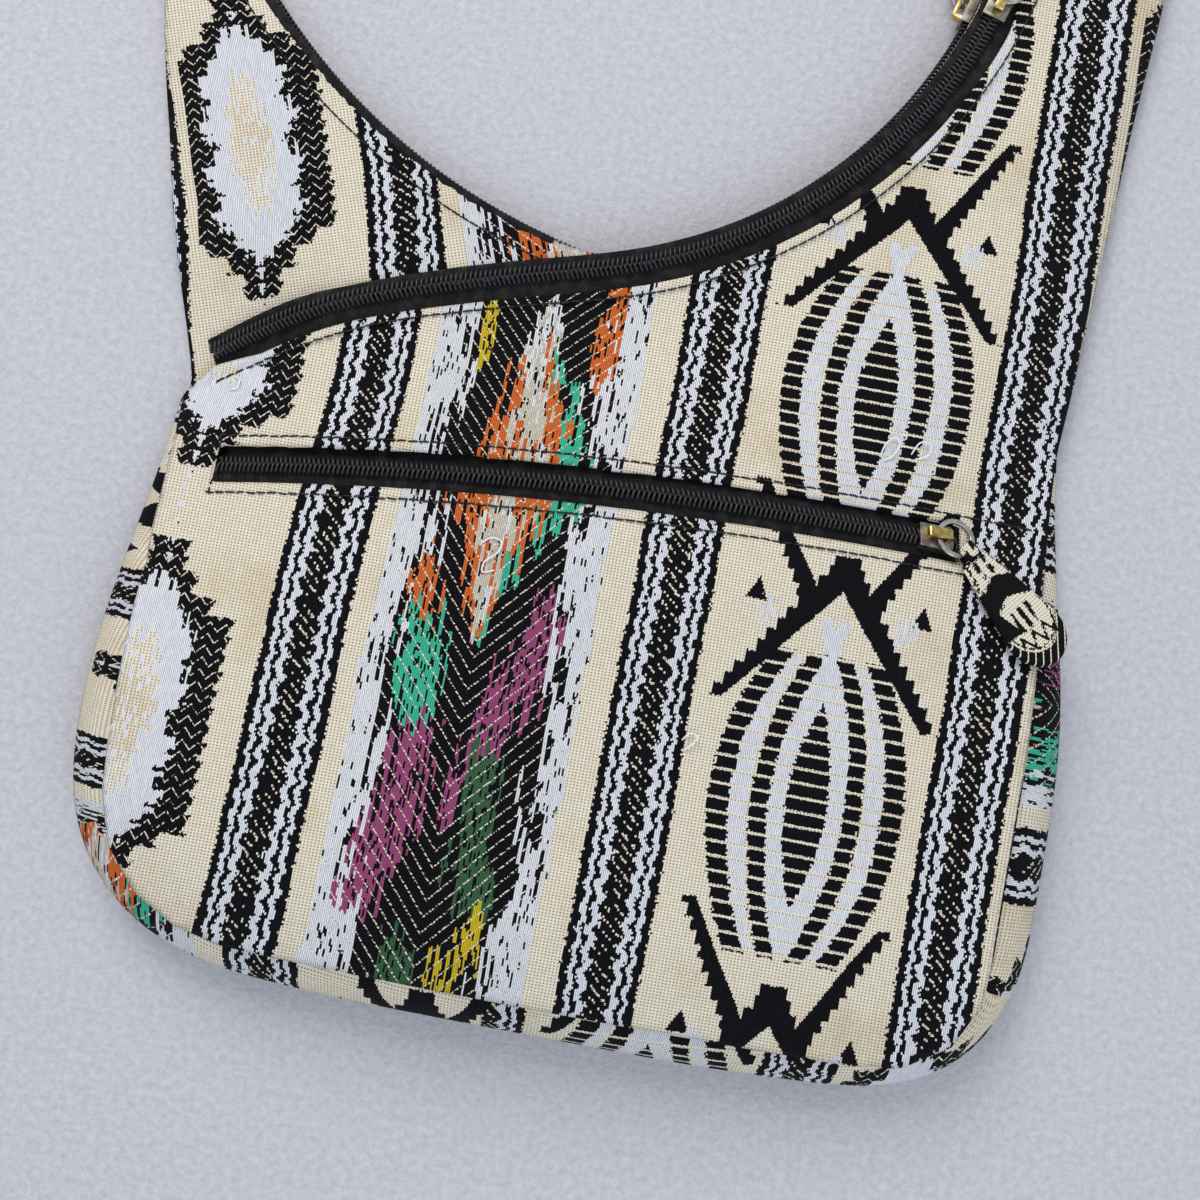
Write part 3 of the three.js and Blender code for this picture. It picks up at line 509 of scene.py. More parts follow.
def woven_cloth(name):
    shader = Shader(name)
    f = thread_field(shader)
    band_black, band_white, band_cream = bands(f)
    ikat_black, ikat_white, ikat_cream = ikat(shader, f)
    eye_black, eye_white = eyes(f)
    gem_black, gem_white, gem_cream = diamonds(shader, f)
    black = band_black.most(ikat_black).most(eye_black).most(gem_black)
    white = band_white.most(ikat_white).most(eye_white).most(gem_white)
    cream = band_cream.most(ikat_cream).most(gem_cream)
    stain = shader.grain(f["place"], 0.03, PLANE)
    knot = chance(shader, (f["x"] / WARP_PITCH).floor(), (f["y"] / WEFT_PITCH).floor())
    plain = shader.blend(((stain - 0.55) * 2.0).most(0.0) + knot * 0.3 + 0.12, CREAM, TAN)
    colour = shader.blend(black, plain, BLACK)
    colour = shader.blend(white, colour, WHITE)
    for mask, dye in flames(shader, f):
        colour = shader.blend(mask * ikat_black, colour, dye)
    colour = shader.blend(cream, colour, plain)
    floats = black.most(white) * (1.0 - cream)
    weave = f["x"].waves(WARP_PITCH).most(f["y"].waves(WEFT_PITCH))
    stagger = f["strand"].wrap(2.0, 0.0) * (FLOAT_LENGTH / 2)
    strand = f["across"].waves(STRAND) * ((f["along"] + stagger).waves(FLOAT_LENGTH) * 0.6 + 0.4)
    # Painted shade in the pinholes between the threads of the plain weave.
    pinhole_shade = (1.5 - weave * 2.0).clamp() * (1.0 - floats)
    colour = shader.blend(pinhole_shade * 0.9, colour, PINHOLE_SHADE)
    # Painted shade between the strands of the floats, plus a random darker tone on each dash of yarn.
    gap = (0.85 - strand).most(0.0) * 0.45 + (f["dash"] + 0.5) * 0.12
    colour = shader.blend(gap * floats, colour, SHADE)
    smooth, corded = shader.bump(weave, 0.8, YARN_RELIEF), shader.bump(strand, 0.9, YARN_RELIEF)
    normal = shader.node("ShaderNodeMix", {"data_type": "VECTOR"}, {0: floats, 4: smooth, 5: corded}, 1)
    rough = 0.95 - floats * 0.2
    return shader.set({"Base Color": colour, "Roughness": rough, "Normal": normal, "Specular IOR Level": 0.1})


cloth_material = woven_cloth("woven_cotton")
print("woven cloth nodes:", len(cloth_material.node_tree.nodes))


# %% [markdown]
# The zip tape, the lining, the coil, the metal and the pulls have materials of their own.

# %% Other materials
RIB_PITCH = 0.0009
FINE_RELIEF = 0.0002
BULB_CENTRE = 30.5


def ribbed_tape(name):
    shader = Shader(name)
    place = shader.object_place()
    x, y = shader.axes(place)
    dust = shader.grain(place, 260.0)
    colour = shader.blend((dust - 0.45).most(0.0), paint(20, 20, 22), paint(74, 72, 72))
    normal = shader.bump(x.waves(RIB_PITCH) * y.waves(RIB_PITCH), 0.6, FINE_RELIEF)
    return shader.set({"Base Color": colour, "Roughness": 0.85, "Normal": normal, "Specular IOR Level": 0.25})


def thread(name, dark, light, rough):
    shader = Shader(name)
    colour = shader.blend(shader.grain(shader.object_place(), 900.0), dark, light)
    return shader.set({"Base Color": colour, "Roughness": rough, "Specular IOR Level": 0.4})


def worn_metal(name, dull, bright, rough):
    shader = Shader(name)
    place = shader.object_place()
    wear = shader.grain(place, 420.0, Detail=5.0)
    colour = shader.blend(((wear - 0.35) * 2.2).clamp(), dull, bright)
    normal = shader.bump(wear + shader.grain(place, 2600.0) * 0.3, 0.25, FINE_RELIEF)
    rough = wear * 0.3 + rough
    return shader.set({"Base Color": colour, "Roughness": rough, "Normal": normal, "Metallic": 1.0})


def pull_cloth(name):
    """The pull's own cut of cloth: dashes on the neck, a broad chevron, and bars on the bulb."""
    shader = Shader(name)
    x, y = shader.axes(shader.cloth_place())
    fray = chance(shader, (x / 0.6).floor(), (y / 0.6).floor())
    along, across = x + fray, y + fray * 0.6
    wide, reach = abs(across), along - BULB_CENTRE
    dashes = (abs(wide - 2.2) < 1.1) * (along < 12.5) * ((along + across * 0.5).fold(2.4) > 0.8)
    rung = along.between(4.4, 6.0) * (across < 1.0)
    chevron = (along - wide * 0.4).between(13.0, 21.0)
    bars = (across.fold(1.9) < 0.95) * along.between(25.5, 33.0) * (across + along * 0.3).between(4.0, 13.0)
    knots = (abs(reach - 6.0 - (across * 1.2).sin() * 2.0) < 1.0) * (wide < 8.5)
    patch = (across < reach * 0.3 - 5.0) * (reach < 2.0)
    radius = reach * reach + across * across
    rim = (radius > 10.8 ** 2).most(radius.between(9.3 ** 2, 10.0 ** 2)) * (reach > -3.5)
    rim = rim.most((abs(wide - along * 0.24 - 3.4) < 0.4) * (reach < -3.5))
    black = dashes.most(rung).most(chevron).most(bars).most(knots).most(patch)
    weave = x.waves(WARP_PITCH).most(y.waves(WEFT_PITCH))
    # Painted shade in the pinholes between the threads.
    pinhole_shade = (1.5 - weave * 2.0).clamp() * (1.0 - black)
    colour = shader.blend(pinhole_shade * 0.9, shader.blend(black, CREAM, BLACK), PINHOLE_SHADE)
    colour = shader.blend(rim * ((x + y).fold(1.9) > 0.3), colour, BLACK)
    normal = shader.bump(weave, 0.55, YARN_RELIEF)
    return shader.set({"Base Color": colour, "Roughness": 0.9, "Normal": normal, "Specular IOR Level": 0.2})


tape_material = ribbed_tape("zip_tape")
coil_material = thread("zip_coil", paint(20, 20, 22), paint(52, 52, 56), 0.35)
stitch_material = thread("black_thread", paint(14, 14, 16), paint(44, 42, 44), 0.7)
lint_material = thread("white_thread", paint(214, 214, 220), paint(244, 244, 248), 0.8)
lining_material = thread("lining", paint(38, 36, 36), paint(66, 62, 60), 0.9)
slider_material = worn_metal("slider_metal", paint(120, 112, 100), paint(196, 190, 182), 0.28)
brass_material = worn_metal("brass", paint(176, 146, 84), paint(238, 216, 150), 0.2)
ring_material = worn_metal("ring_metal", paint(168, 166, 160), paint(226, 224, 220), 0.2)
pull_material = pull_cloth("pull_cloth")
print("other materials: 9")


# %% [markdown]
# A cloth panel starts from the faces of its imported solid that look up. Their rim is walked at even
# steps, the middle is filled with a fine net, and the net is dropped on the solid and smoothed, so
# that the solid's flat facets become one soft surface.

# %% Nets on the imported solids
RIM_LEAST = 40.0
RIM_ROUND = 0.2
LOOKS_UP = 0.3


def solid(name):
    """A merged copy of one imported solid, in millimetres."""
    shape = bmesh.new()
    shape.from_mesh(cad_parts[name].data)
    bmesh.ops.scale(shape, vec=(1.0 / MM,) * 3, verts=shape.verts)
    bmesh.ops.remove_doubles(shape, verts=shape.verts, dist=0.002)
    shape.normal_update()
    return shape


def rims(shape):
    """The loops round the faces that look up, longest first."""
    up = {face for face in shape.faces if face.normal.z > LOOKS_UP}
    after = {}
    for face in up:
        for corner in face.loops:
            if corner.link_loop_radial_next.face not in up:
                after[corner.vert] = corner.link_loop_next.vert
    loops = []
    while after:
        start, vert = after.popitem()
        loop = [start]
        while vert is not start:
            loop.append(vert)
            vert = after.pop(vert)
        loops.append(np.array([v.co for v in loop]))
    return sorted(loops, key=len_round, reverse=True)


def len_round(loop):
    return np.linalg.norm(loop - np.roll(loop, 1, axis=0), axis=1).sum()


def unit(vectors):
    return vectors / np.linalg.norm(vectors, axis=-1, keepdims=True)


def run_of(line):
    """How far along a line each of its points lies."""
    return np.r_[0.0, np.linalg.norm(np.diff(line, axis=0), axis=1).cumsum()]


def resample(line, step, closed=True):
    """Points at even steps along a line."""
    line = np.asarray(line, float)
    if closed:
        line = np.vstack([line, line[:1]])
    run = run_of(line)
    count = max(int(round(run[-1] / step)), 3)
    at = np.linspace(0.0, run[-1], count + 1)
    even = np.stack([np.interp(at, run, line[:, k]) for k in range(line.shape[1])], axis=1)
    return even[:-1] if closed else even


def inside(points, loop):
    """Which plan points lie inside a loop."""
    x, y = points[:, :1], points[:, 1:2]
    ax, ay = loop[:, 0], loop[:, 1]
    bx, by = np.roll(ax, 1), np.roll(ay, 1)
    spans = (ay > y) != (by > y)
    rise = np.where(by == ay, 1.0, by - ay)
    return (spans & (x < (bx - ax) * (y - ay) / rise + ax)).sum(axis=1) % 2 == 1


def within(points, rings):
    """Which plan points lie inside the first loop and outside the others."""
    holes = [inside(points, ring) for ring in rings[1:]] or [[False]]
    return inside(points, rings[0]) & ~np.any(holes, axis=0)


def plan_tree(spots):
    """A tree that finds the nearest of some plan points."""
    tree = KDTree(len(spots))
    for i, spot in enumerate(spots):
        tree.insert((spot[0], spot[1], 0.0), i)
    tree.balance()
    return tree


def nearest(points, targets):
    """The distance from each plan point to the nearest target."""
    tree = plan_tree(targets)
    return np.array([tree.find((p[0], p[1], 0.0))[2] for p in points])


def smooth_line(values, width):
    """A running mean round a closed line."""
    return sum(np.roll(values, k, axis=0) for k in range(-width, width + 1)) / (2 * width + 1)


def even_out(values, width):
    """A running mean along an open line."""
    span = 2 * width + 1
    return np.convolve(np.pad(values, width, mode="edge"), np.ones(span) / span, mode="valid")


def neighbours(rings):
    """Pairs of points round each ring, numbered through all the rings."""
    start = 0
    for ring in rings:
        count = len(ring)
        for i in range(count):
            yield start + i, start + (i + 1) % count
        start += count


def net(name, step):
    """A fine net over one panel: its points, triangles and rims."""
    shape = solid(name)
    rings = [resample(loop, step) for loop in rims(shape) if len_round(loop) > RIM_LEAST]
    rings = [np.c_[ring[:, :2], smooth_line(ring[:, 2], 4)] for ring in rings]
    rim = np.vstack(rings)
    low, high = rim.min(axis=0), rim.max(axis=0)
    xs, ys = np.arange(low[0], high[0], step), np.arange(low[1], high[1], step * 0.87)
    grid = np.array([(x + (j % 2) * step / 2, y) for j, y in enumerate(ys) for x in xs])
    grid = grid[within(grid, rings)]
    grid = grid[nearest(grid, rim) > 0.55 * step]
    surface = BVHTree.FromBMesh(shape)
    drop = [surface.ray_cast((x, y, ABOVE), DOWN)[0] for x, y in grid]
    heights = np.array([0.0 if hit is None else hit.z for hit in drop])
    points = np.vstack([rim, np.c_[grid, heights]])
    made = delaunay_2d_cdt([Vector(p[:2]) for p in points], list(neighbours(rings)), [], 0, 1e-5)
    faces = np.array([face for face in made[2] if len(face) == 3])
    faces = faces[within(points[faces].mean(axis=1)[:, :2], rings)]
    points[:, 2] = relax(points[:, 2], faces, len(rim), 60)
    return {"points": points, "faces": faces, "rings": rings, "rim": rim}


def relax(values, faces, fixed, rounds):
    """Each free value drifts to the mean of its neighbours."""
    ends = np.vstack([faces[:, [0, 1]], faces[:, [1, 2]], faces[:, [2, 0]]])
    ends = np.vstack([ends, ends[:, ::-1]])
    count = np.bincount(ends[:, 0], minlength=len(values))
    for _ in range(rounds):
        total = np.bincount(ends[:, 0], weights=values[ends[:, 1]], minlength=len(values))
        values = np.r_[values[:fixed], (total / np.maximum(count, 1))[fixed:]]
    return values


def vertex_normals(points, faces):
    a, b, c = (points[faces[:, k]] for k in range(3))
    flat = np.cross(b - a, c - a)
    total = np.zeros_like(points)
    for k in range(3):
        np.add.at(total, faces[:, k], flat)
    return unit(total)


def seen_place(points):
    """Cloth places as the eye sees them, carried to the sheet at the top of the belly."""
    share = (EYE_TARGET[2] - eye[2]) / (points[:, 2] - eye[2])
    return eye[:2] + (points[:, :2] - eye[:2]) * share[:, None]


def make_mesh(name, points, faces, places=None, material=None):
    """An object from points in millimetres, with its cloth places as a UV map."""
    mesh = bpy.data.meshes.new(name)
    mesh.from_pydata((np.asarray(points) * MM).tolist(), [], [list(map(int, f)) for f in faces])
    mesh.validate()
    mesh.shade_smooth()
    if places is not None:
        corner = np.zeros(len(mesh.loops), int)
        mesh.loops.foreach_get("vertex_index", corner)
        layer = mesh.uv_layers.new(name="cloth")
        layer.data.foreach_set("uv", np.asarray(places)[corner].ravel())
    mesh.materials.append(material)
    return placed(name, mesh)


def thickened(name, shape, depth, places, material):
    """A panel with two faces and a rounded rim from the net's upper face."""
    top, faces = shape["points"].copy(), shape["faces"]
    under = top - depth * vertex_normals(top, faces)
    fixed = len(shape["rim"])
    top[:fixed, 2] -= RIM_ROUND * depth
    under[:fixed, 2] += RIM_ROUND * depth
    count = len(top)
    walls = [(b, a, a + count, b + count) for a, b in neighbours(shape["rings"])]
    every = faces.tolist() + (faces[:, ::-1] + count).tolist() + walls
    made = make_mesh(name, np.vstack([top, under]), every, np.vstack([places, places]), material)
    face_out(made.data)
    return made


def face_out(mesh):
    """Turns every face of a closed mesh outward."""
    shape = bmesh.new()
    shape.from_mesh(mesh)
    bmesh.ops.recalc_face_normals(shape, faces=shape.faces)
    shape.to_mesh(mesh)
    shape.free()


def ripples(points, scale, seed):
    """Soft noise over plan points."""
    return np.array([noise.noise((x / scale, y / scale, seed)) for x, y in points[:, :2]])


# %% [markdown]
# The zips' lines come next, because the panels are hemmed along them. The neck is two arcs, the
# crossover zip follows the right arc and then falls in an S to the left seam, and the pocket zip
# is an arc over the belly.

# %% Zip lines
LEFT_NECK = np.array([27.0, 328.0])
RIGHT_NECK = np.array([-54.0, 268.0])
CROSSOVER_RADIUS = 165.8
CROSSOVER_LEFT = np.array([-129.0, 59.0])
CROSSOVER_JOIN = -74
LEFT_RADIUS = 217.7
MOUTH_RADIUS = 160.2
MOUTH_HEIGHT = 7.2
NECK_RIGHT = -13
NECK_BEND = 30.0
CHAIN_STEP = 2.0
TAPE_NEAR = 1.6
TAPE_FAR = 4.2
BESIDE = 60.0


def heading(degrees):
    return np.array([math.cos(math.radians(degrees)), math.sin(math.radians(degrees))])


def arc(centre, radius, first, last):
    angles = np.radians(np.linspace(first, last, 80))
    return centre + radius * np.c_[np.cos(angles), np.sin(angles)]


def bezier(a, b, c, d):
    t = np.linspace(0.0, 1.0, 80)[:, None]
    return (1 - t) ** 3 * a + 3 * (1 - t) ** 2 * t * b + 3 * (1 - t) * t * t * c + t ** 3 * d


def laid_chain(plan, tape, side):
    """Frames along a chain that lies on the cloth, at the height and slant of its packed tape."""
    plan = resample(plan, CHAIN_STEP, closed=False)
    along = unit(np.gradient(plan, axis=0))
    sideways = side * np.c_[-along[:, 1], along[:, 0]]
    surface = BVHTree.FromBMesh(solid(tape))
    heights = []
    for reach in (TAPE_NEAR, TAPE_FAR):
        z = []
        for x, y in plan + reach * sideways:
            below = surface.ray_cast((x, y, ABOVE), DOWN)[0]
            z.append((below or surface.find_nearest((x, y, BESIDE))[0]).z)
        heights.append(even_out(z, 5))
    slope = (heights[1] - heights[0]) / (TAPE_FAR - TAPE_NEAR)
    origin = np.c_[plan, heights[0] - TAPE_NEAR * slope]
    across = unit(np.c_[sideways, slope])
    along = unit(np.gradient(origin, axis=0))
    out = np.cross(along, across) * side
    return {"origin": origin, "along": along, "out": unit(out)}


join = RIGHT_NECK + CROSSOVER_RADIUS * heading(CROSSOVER_JOIN)
tangent = heading(CROSSOVER_JOIN + 90)
fall = bezier(CROSSOVER_LEFT, CROSSOVER_LEFT + (40.0, 27.0), join - 42.0 * tangent, join)
crossover_plan = np.vstack([fall[:-1], arc(RIGHT_NECK, CROSSOVER_RADIUS, CROSSOVER_JOIN, NECK_RIGHT)])
crossover_chain = laid_chain(crossover_plan, "crossover_tape_lower", -1)

POCKET_CENTRE = Vector((15.117, -42.282, -375.381))
POCKET_AXIS = Vector((-0.072668, 0.979896, -0.185804))
POCKET_SLIDER = (112.3, 40.29, 22.06)
POCKET_RADIUS = 417.395
POCKET_LEAN = math.radians(7.078)
POCKET_ENDS = (-1.235, 32.004)


def pocket_chain():
    """Frames along the pocket's arc, from its right end to its left."""
    rest = Vector(POCKET_SLIDER) - POCKET_CENTRE
    origin, along, out = [], [], []
    for angle in np.radians(np.linspace(*POCKET_ENDS, 122)):
        spoke = (Matrix.Rotation(-angle, 3, POCKET_AXIS) @ rest).normalized()
        forward = POCKET_AXIS.cross(spoke)
        origin.append(POCKET_CENTRE + POCKET_RADIUS * spoke)
        along.append(-forward)
        out.append(Matrix.Rotation(-POCKET_LEAN, 3, forward) @ spoke)
    return {"origin": np.array(origin), "along": np.array(along), "out": np.array(out)}


pocket_line = pocket_chain()
left_side = arc(LEFT_NECK, LEFT_RADIUS, -138, -103)
right_side = arc(RIGHT_NECK, MOUTH_RADIUS, -71, NECK_RIGHT)
bend = [left_side[-1], left_side[-1] + NECK_BEND * unit(left_side[-1] - left_side[-2])]
bend += [right_side[0] - NECK_BEND * unit(right_side[1] - right_side[0]), right_side[0]]
neck_plan = np.vstack([left_side[:-1], bezier(*bend)[:-1], right_side])
neck = resample(neck_plan, CHAIN_STEP, closed=False)
neck_along = unit(np.gradient(neck, axis=0))
mouth_chain = {
    "origin": np.c_[neck, np.full(len(neck), MOUTH_HEIGHT)],
    "along": np.c_[neck_along, np.zeros(len(neck))],
    "out": np.c_[-neck_along[:, 1], neck_along[:, 0], np.zeros(len(neck))],
}
print("chain frames:", len(crossover_chain["origin"]), len(pocket_line["origin"]), len(neck))

# %% [markdown]
# The three big panels. The outer one is hemmed along both zips: the cloth dips at the topstitch and
# swells between it and the fold. Soft noise gives slack cloth, and short ripples pucker the hems.

# %% Cloth panels
CLOTH = 1.6
HEM = 3.6
HEM_SWELL = 0.75
STITCH_DIP = 0.8
PUCKER = 0.9
SEAM_DIP = 0.8
PRESS = 1.2
TUCK_DEPTH = 3.0
TUCK_X, TUCK_LENGTH = -140.0, 22.0
TUCK_Y, TUCK_WIDTH = -13.0, 5.0
FINE = 1.9


def along_line(line, points):
    """How far along a plan line each point lies, and how far off it."""
    tree = plan_tree(line)
    run = run_of(line)
    tangents = unit(np.gradient(line, axis=0))
    index = np.array([tree.find((x, y, 0.0))[1] for x, y in points[:, :2]])
    gap = points[:, :2] - line[index]
    along = run[index] + (gap * tangents[index]).sum(axis=1)
    off = gap[:, 0] * tangents[index][:, 1] - gap[:, 1] * tangents[index][:, 0]
    return along, off


def hemmed(shape, hems, slack, seed, pressed=None):
    """Adds slack, a turned hem with its stitch line, and puckers; a pull lies where it is pressed."""
    points = shape["points"]
    edge = nearest(points, shape["rim"])
    free = np.clip(edge / 14.0, 0.0, 1.0)
    rise = slack * free * (0.5 + ripples(points, 62.0, seed) + 0.45 * ripples(points, 24.0, seed + 3.0))
    if len(hems):
        off = nearest(points, hems)
        rise += HEM_SWELL * np.exp(-((off - 1.9) / 1.5) ** 2)
        rise -= STITCH_DIP * np.exp(-((off - HEM) / 1.1) ** 2)
        rise += PUCKER * ripples(points, 7.0, seed + 9.0) * np.exp(-((off - 6.5) / 4.0) ** 2)
    seam = np.clip(1.0 - edge / 4.0, 0.0, 1.0) ** 2
    rise -= SEAM_DIP * seam * (off > 8.0 if len(hems) else 1.0)
    if pressed is not None:
        under = np.exp(-(nearest(points, pressed) / 40.0) ** 4)
        rise += under * (np.minimum(rise, 0.0) - rise - PRESS * np.clip(edge / 6.0, 0.0, 1.0))
    points[:, 2] += rise


def drawn_back(shape, chain, back, reach):
    """Draws a panel's edge back from a chain, so that more of the tape shows."""
    line, points = chain["origin"][:, :2], shape["points"]
    along, off = along_line(line, points)
    length = np.linalg.norm(np.diff(line, axis=0), axis=1).sum()
    share = np.clip(1.0 - np.abs(off) / reach, 0.0, 1.0)
    share *= np.clip(np.minimum(along, length - along) / 16.0, 0.0, 1.0)
    tangents = unit(np.gradient(line, axis=0))
    index = np.clip(np.searchsorted(np.linspace(0.0, length, len(line)), along), 0, len(line) - 1)
    side = np.c_[tangents[index][:, 1], -tangents[index][:, 0]]
    points[:, :2] += back * share[:, None] * np.sign(off)[:, None] * side
    shape["rim"] = points[:len(shape["rim"])].copy()


front = net("crossover_panel", FINE)
drawn_back(front, crossover_chain, 4.2, 18.0)
chain_plan = np.vstack([crossover_chain["origin"], pocket_line["origin"]])[:, :2]
front_rim = front["rim"]
zip_edges = front_rim[nearest(front_rim, chain_plan) < 9.0]
pull_path = crossover_chain["origin"][crossover_chain["origin"][:, 0] > -10.0]
hemmed(front, zip_edges, 1.7, 1.0, pull_path)
x, y = front["points"][:, 0], front["points"][:, 1]
tuck = np.exp(-((y - TUCK_Y) / TUCK_WIDTH) ** 2) * np.exp(-((x - TUCK_X) / TUCK_LENGTH) ** 2)
front["points"][:, 2] -= TUCK_DEPTH * tuck
crossover_cloth = thickened("crossover_cloth", front, CLOTH, seen_place(front["points"]), cloth_material)

WING_TURN = math.radians(20.0)
WING_PLACE = np.array([-122.0, 128.0])
LOOM_PLACE = np.array([-112.0, 75.0])

inner = net("inner_front_panel", FINE * 1.25)
hemmed(inner, np.zeros((0, 2)), 0.8, 5.0)
spin = np.array(Matrix.Rotation(WING_TURN, 2))
wing_place = (seen_place(inner["points"]) - WING_PLACE) @ spin + LOOM_PLACE
inner_cloth = thickened("inner_cloth", inner, CLOTH, wing_place, cloth_material)

back = net("back_panel", FINE * 1.7)
back_cloth = thickened("back_cloth", back, CLOTH - 0.1, -back["points"][:, :2], cloth_material)
for piece, node in (
    (crossover_cloth, "crossover_panel"), (inner_cloth, "inner_front_panel"), (back_cloth, "back_panel"),
):
    dress(piece, "bag", node)
    print(piece.name, len(piece.data.polygons), "faces")


# %% [markdown]
# Bands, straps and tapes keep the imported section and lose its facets: sharp edges hold a crease,
# and the rest is subdivided. Cloth places run along each band.

# %% Bands
def baked(made):
    """Makes an object's modifiers into its mesh."""
    fine = bpy.data.meshes.new_from_object(made.evaluated_get(bpy.context.evaluated_depsgraph_get()))
    made.modifiers.clear()
    made.data = fine
    fine.shade_smooth()
    return fine


def softened(name, node, levels, material, places=None, crease=50.0):
    """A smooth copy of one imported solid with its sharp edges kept."""
    shape = solid(node)
    bmesh.ops.join_triangles(shape, faces=shape.faces, angle_face_threshold=0.6, angle_shape_threshold=1.2)
    hold = shape.edges.layers.float.new("crease_edge")
    for edge in shape.edges:
        if edge.is_manifold and math.degrees(edge.calc_face_angle()) > crease:
            edge[hold] = 1.0
    bmesh.ops.scale(shape, vec=(MM,) * 3, verts=shape.verts)
    rough = bpy.data.meshes.new(name)
    shape.to_mesh(rough)
    shape.free()
    made = placed(name, rough)
    smoother = made.modifiers.new("smoother", "SUBSURF")
    smoother.levels = smoother.render_levels = levels
    fine = baked(made)
    fine.materials.append(material)
    fine.set_sharp_from_angle(angle=math.radians(60))
    if places is not None:
        lay_cloth(fine, places)
    return made


def lay_cloth(mesh, places):
    """Cloth places for every corner, from its point and from the middle of its face."""
    spots, corner = np.zeros(len(mesh.vertices) * 3), np.zeros(len(mesh.loops), int)
    middle, corners = np.zeros(len(mesh.polygons) * 3), np.zeros(len(mesh.polygons), int)
    mesh.vertices.foreach_get("co", spots)
    mesh.loops.foreach_get("vertex_index", corner)
    mesh.polygons.foreach_get("center", middle)
    mesh.polygons.foreach_get("loop_total", corners)
    points = spots.reshape(-1, 3)[corner] / MM
    middles = np.repeat(middle.reshape(-1, 3), corners, axis=0) / MM
    mesh.uv_layers.new(name="cloth").data.foreach_set("uv", places(points, middles).ravel())


def gusset_place(points, middles):
    """The gusset is cut across the loom from three lengths: left side, base and right side."""
    x, y, z = points.T
    right_half, low = middles[:, 0] > 0.0, middles[:, 1] < -97.0
    left_side, right_side = -33.0 - 1.5 * (y + 103.0), y - 18.0
    base = np.where(right_half, x - 253.0, x + 103.0)
    across = np.where(low, base, np.where(right_half, right_side, left_side))
    return np.c_[across, np.where(right_half, z * 1.1 - 45.0, z * 0.9 + 2.0)]


gusset_cloth = softened("gusset_cloth", "gusset", 2, cloth_material, gusset_place)
strap_line = bezier(*np.array([[-167.0, 212.0], [-200.0, 358.0], [154.0, 390.0], [146.0, 280.0]]))
strap_line = resample(strap_line, 1.0, closed=False)


def strap_place(points, middles):
    along, off = along_line(strap_line, points)
    return np.c_[off - 72.5, along - 160.0]


strap_left = softened("strap_left_cloth", "strap_left", 3, cloth_material, strap_place)
strap_right = softened("strap_right_cloth", "strap_right", 3, cloth_material, strap_place)
pocket_lining = softened("pocket_lining", "pocket_bag", 1, lining_material)
for piece, node in (
    (gusset_cloth, "gusset"), (strap_left, "strap_left"), (strap_right, "strap_right"),
):
    dress(piece, "bag", node)
dress(pocket_lining, "bag", "pocket_bag")
for tape in (
    "pocket_tape_upper", "pocket_tape_lower", "crossover_tape_upper", "crossover_tape_lower",
    "mouth_tape_front", "mouth_tape_back",
):
    ribbon = softened(tape + "_cloth", tape, 2, tape_material)
    dress(ribbon, "bag", tape)
print("bands and tapes made")

# %% [markdown]
# Teeth and stitches repeat, so Geometry Nodes set them out. Each point of a small mesh carries the
# line's direction and the way out of the cloth, and one tree puts a part on every point.

# %% Parts along a line
def repeat_tree(name):
    tree = bpy.data.node_groups.new(name, "GeometryNodeTree")
    face = tree.interface
    face.new_socket("Geometry", in_out="INPUT", socket_type="NodeSocketGeometry")
    face.new_socket("Part", in_out="INPUT", socket_type="NodeSocketObject")
    face.new_socket("Finish", in_out="INPUT", socket_type="NodeSocketMaterial")
    face.new_socket("Geometry", in_out="OUTPUT", socket_type="NodeSocketGeometry")
    add, link = tree.nodes.new, tree.links.new
    given, result = add("NodeGroupInput"), add("NodeGroupOutput")
    along, out = add("GeometryNodeInputNamedAttribute"), add("GeometryNodeInputNamedAttribute")
    for node, attribute in ((along, "along"), (out, "out")):
        node.data_type = "FLOAT_VECTOR"
        node.inputs["Name"].default_value = attribute
    facing = add("FunctionNodeAxesToRotation")
    facing.primary_axis, facing.secondary_axis = "Z", "X"
    link(out.outputs[0], facing.inputs[0])
    link(along.outputs[0], facing.inputs[1])
    part = add("GeometryNodeObjectInfo")
    link(given.outputs["Part"], part.inputs["Object"])
    place = add("GeometryNodeInstanceOnPoints")
    link(given.outputs["Geometry"], place.inputs["Points"])
    link(part.outputs["Geometry"], place.inputs["Instance"])
    link(facing.outputs[0], place.inputs["Rotation"])
    real, finish = add("GeometryNodeRealizeInstances"), add("GeometryNodeSetMaterial")
    link(place.outputs[0], real.inputs[0])
    link(real.outputs[0], finish.inputs["Geometry"])
    link(given.outputs["Finish"], finish.inputs["Material"])
    link(finish.outputs[0], result.inputs[0])
    return tree


repeat = repeat_tree("repeat_along")


def set_out(name, part, origin, along, out, material):
    """One object made of a part repeated on every point given."""
    dots = bpy.data.meshes.new(name)
    dots.from_pydata((np.asarray(origin) * MM).tolist(), [], [])
    for key, vectors in (("along", along), ("out", out)):
        layer = dots.attributes.new(key, "FLOAT_VECTOR", "POINT")
        layer.data.foreach_set("vector", np.asarray(vectors, float).ravel())
    made = placed(name, dots)
    worker = made.modifiers.new("repeat", "NODES")
    worker.node_group = repeat
    named = {item.name: item.identifier for item in repeat.interface.items_tree if item.in_out == "INPUT"}
    worker[named["Part"]] = part
    worker[named["Finish"]] = material
    baked(made)
    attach(made, "bag")
    return made


def tube_faces(count, sides):
    """The wall and both ends of a tube made of rings."""
    faces = []
    for i in range(count - 1):
        for k in range(sides):
            a, b = i * sides + k, i * sides + (k + 1) % sides
            faces.append((a, b, b + sides, a + sides))
    return faces + [tuple(range(sides))[::-1], tuple(range((count - 1) * sides, count * sides))]


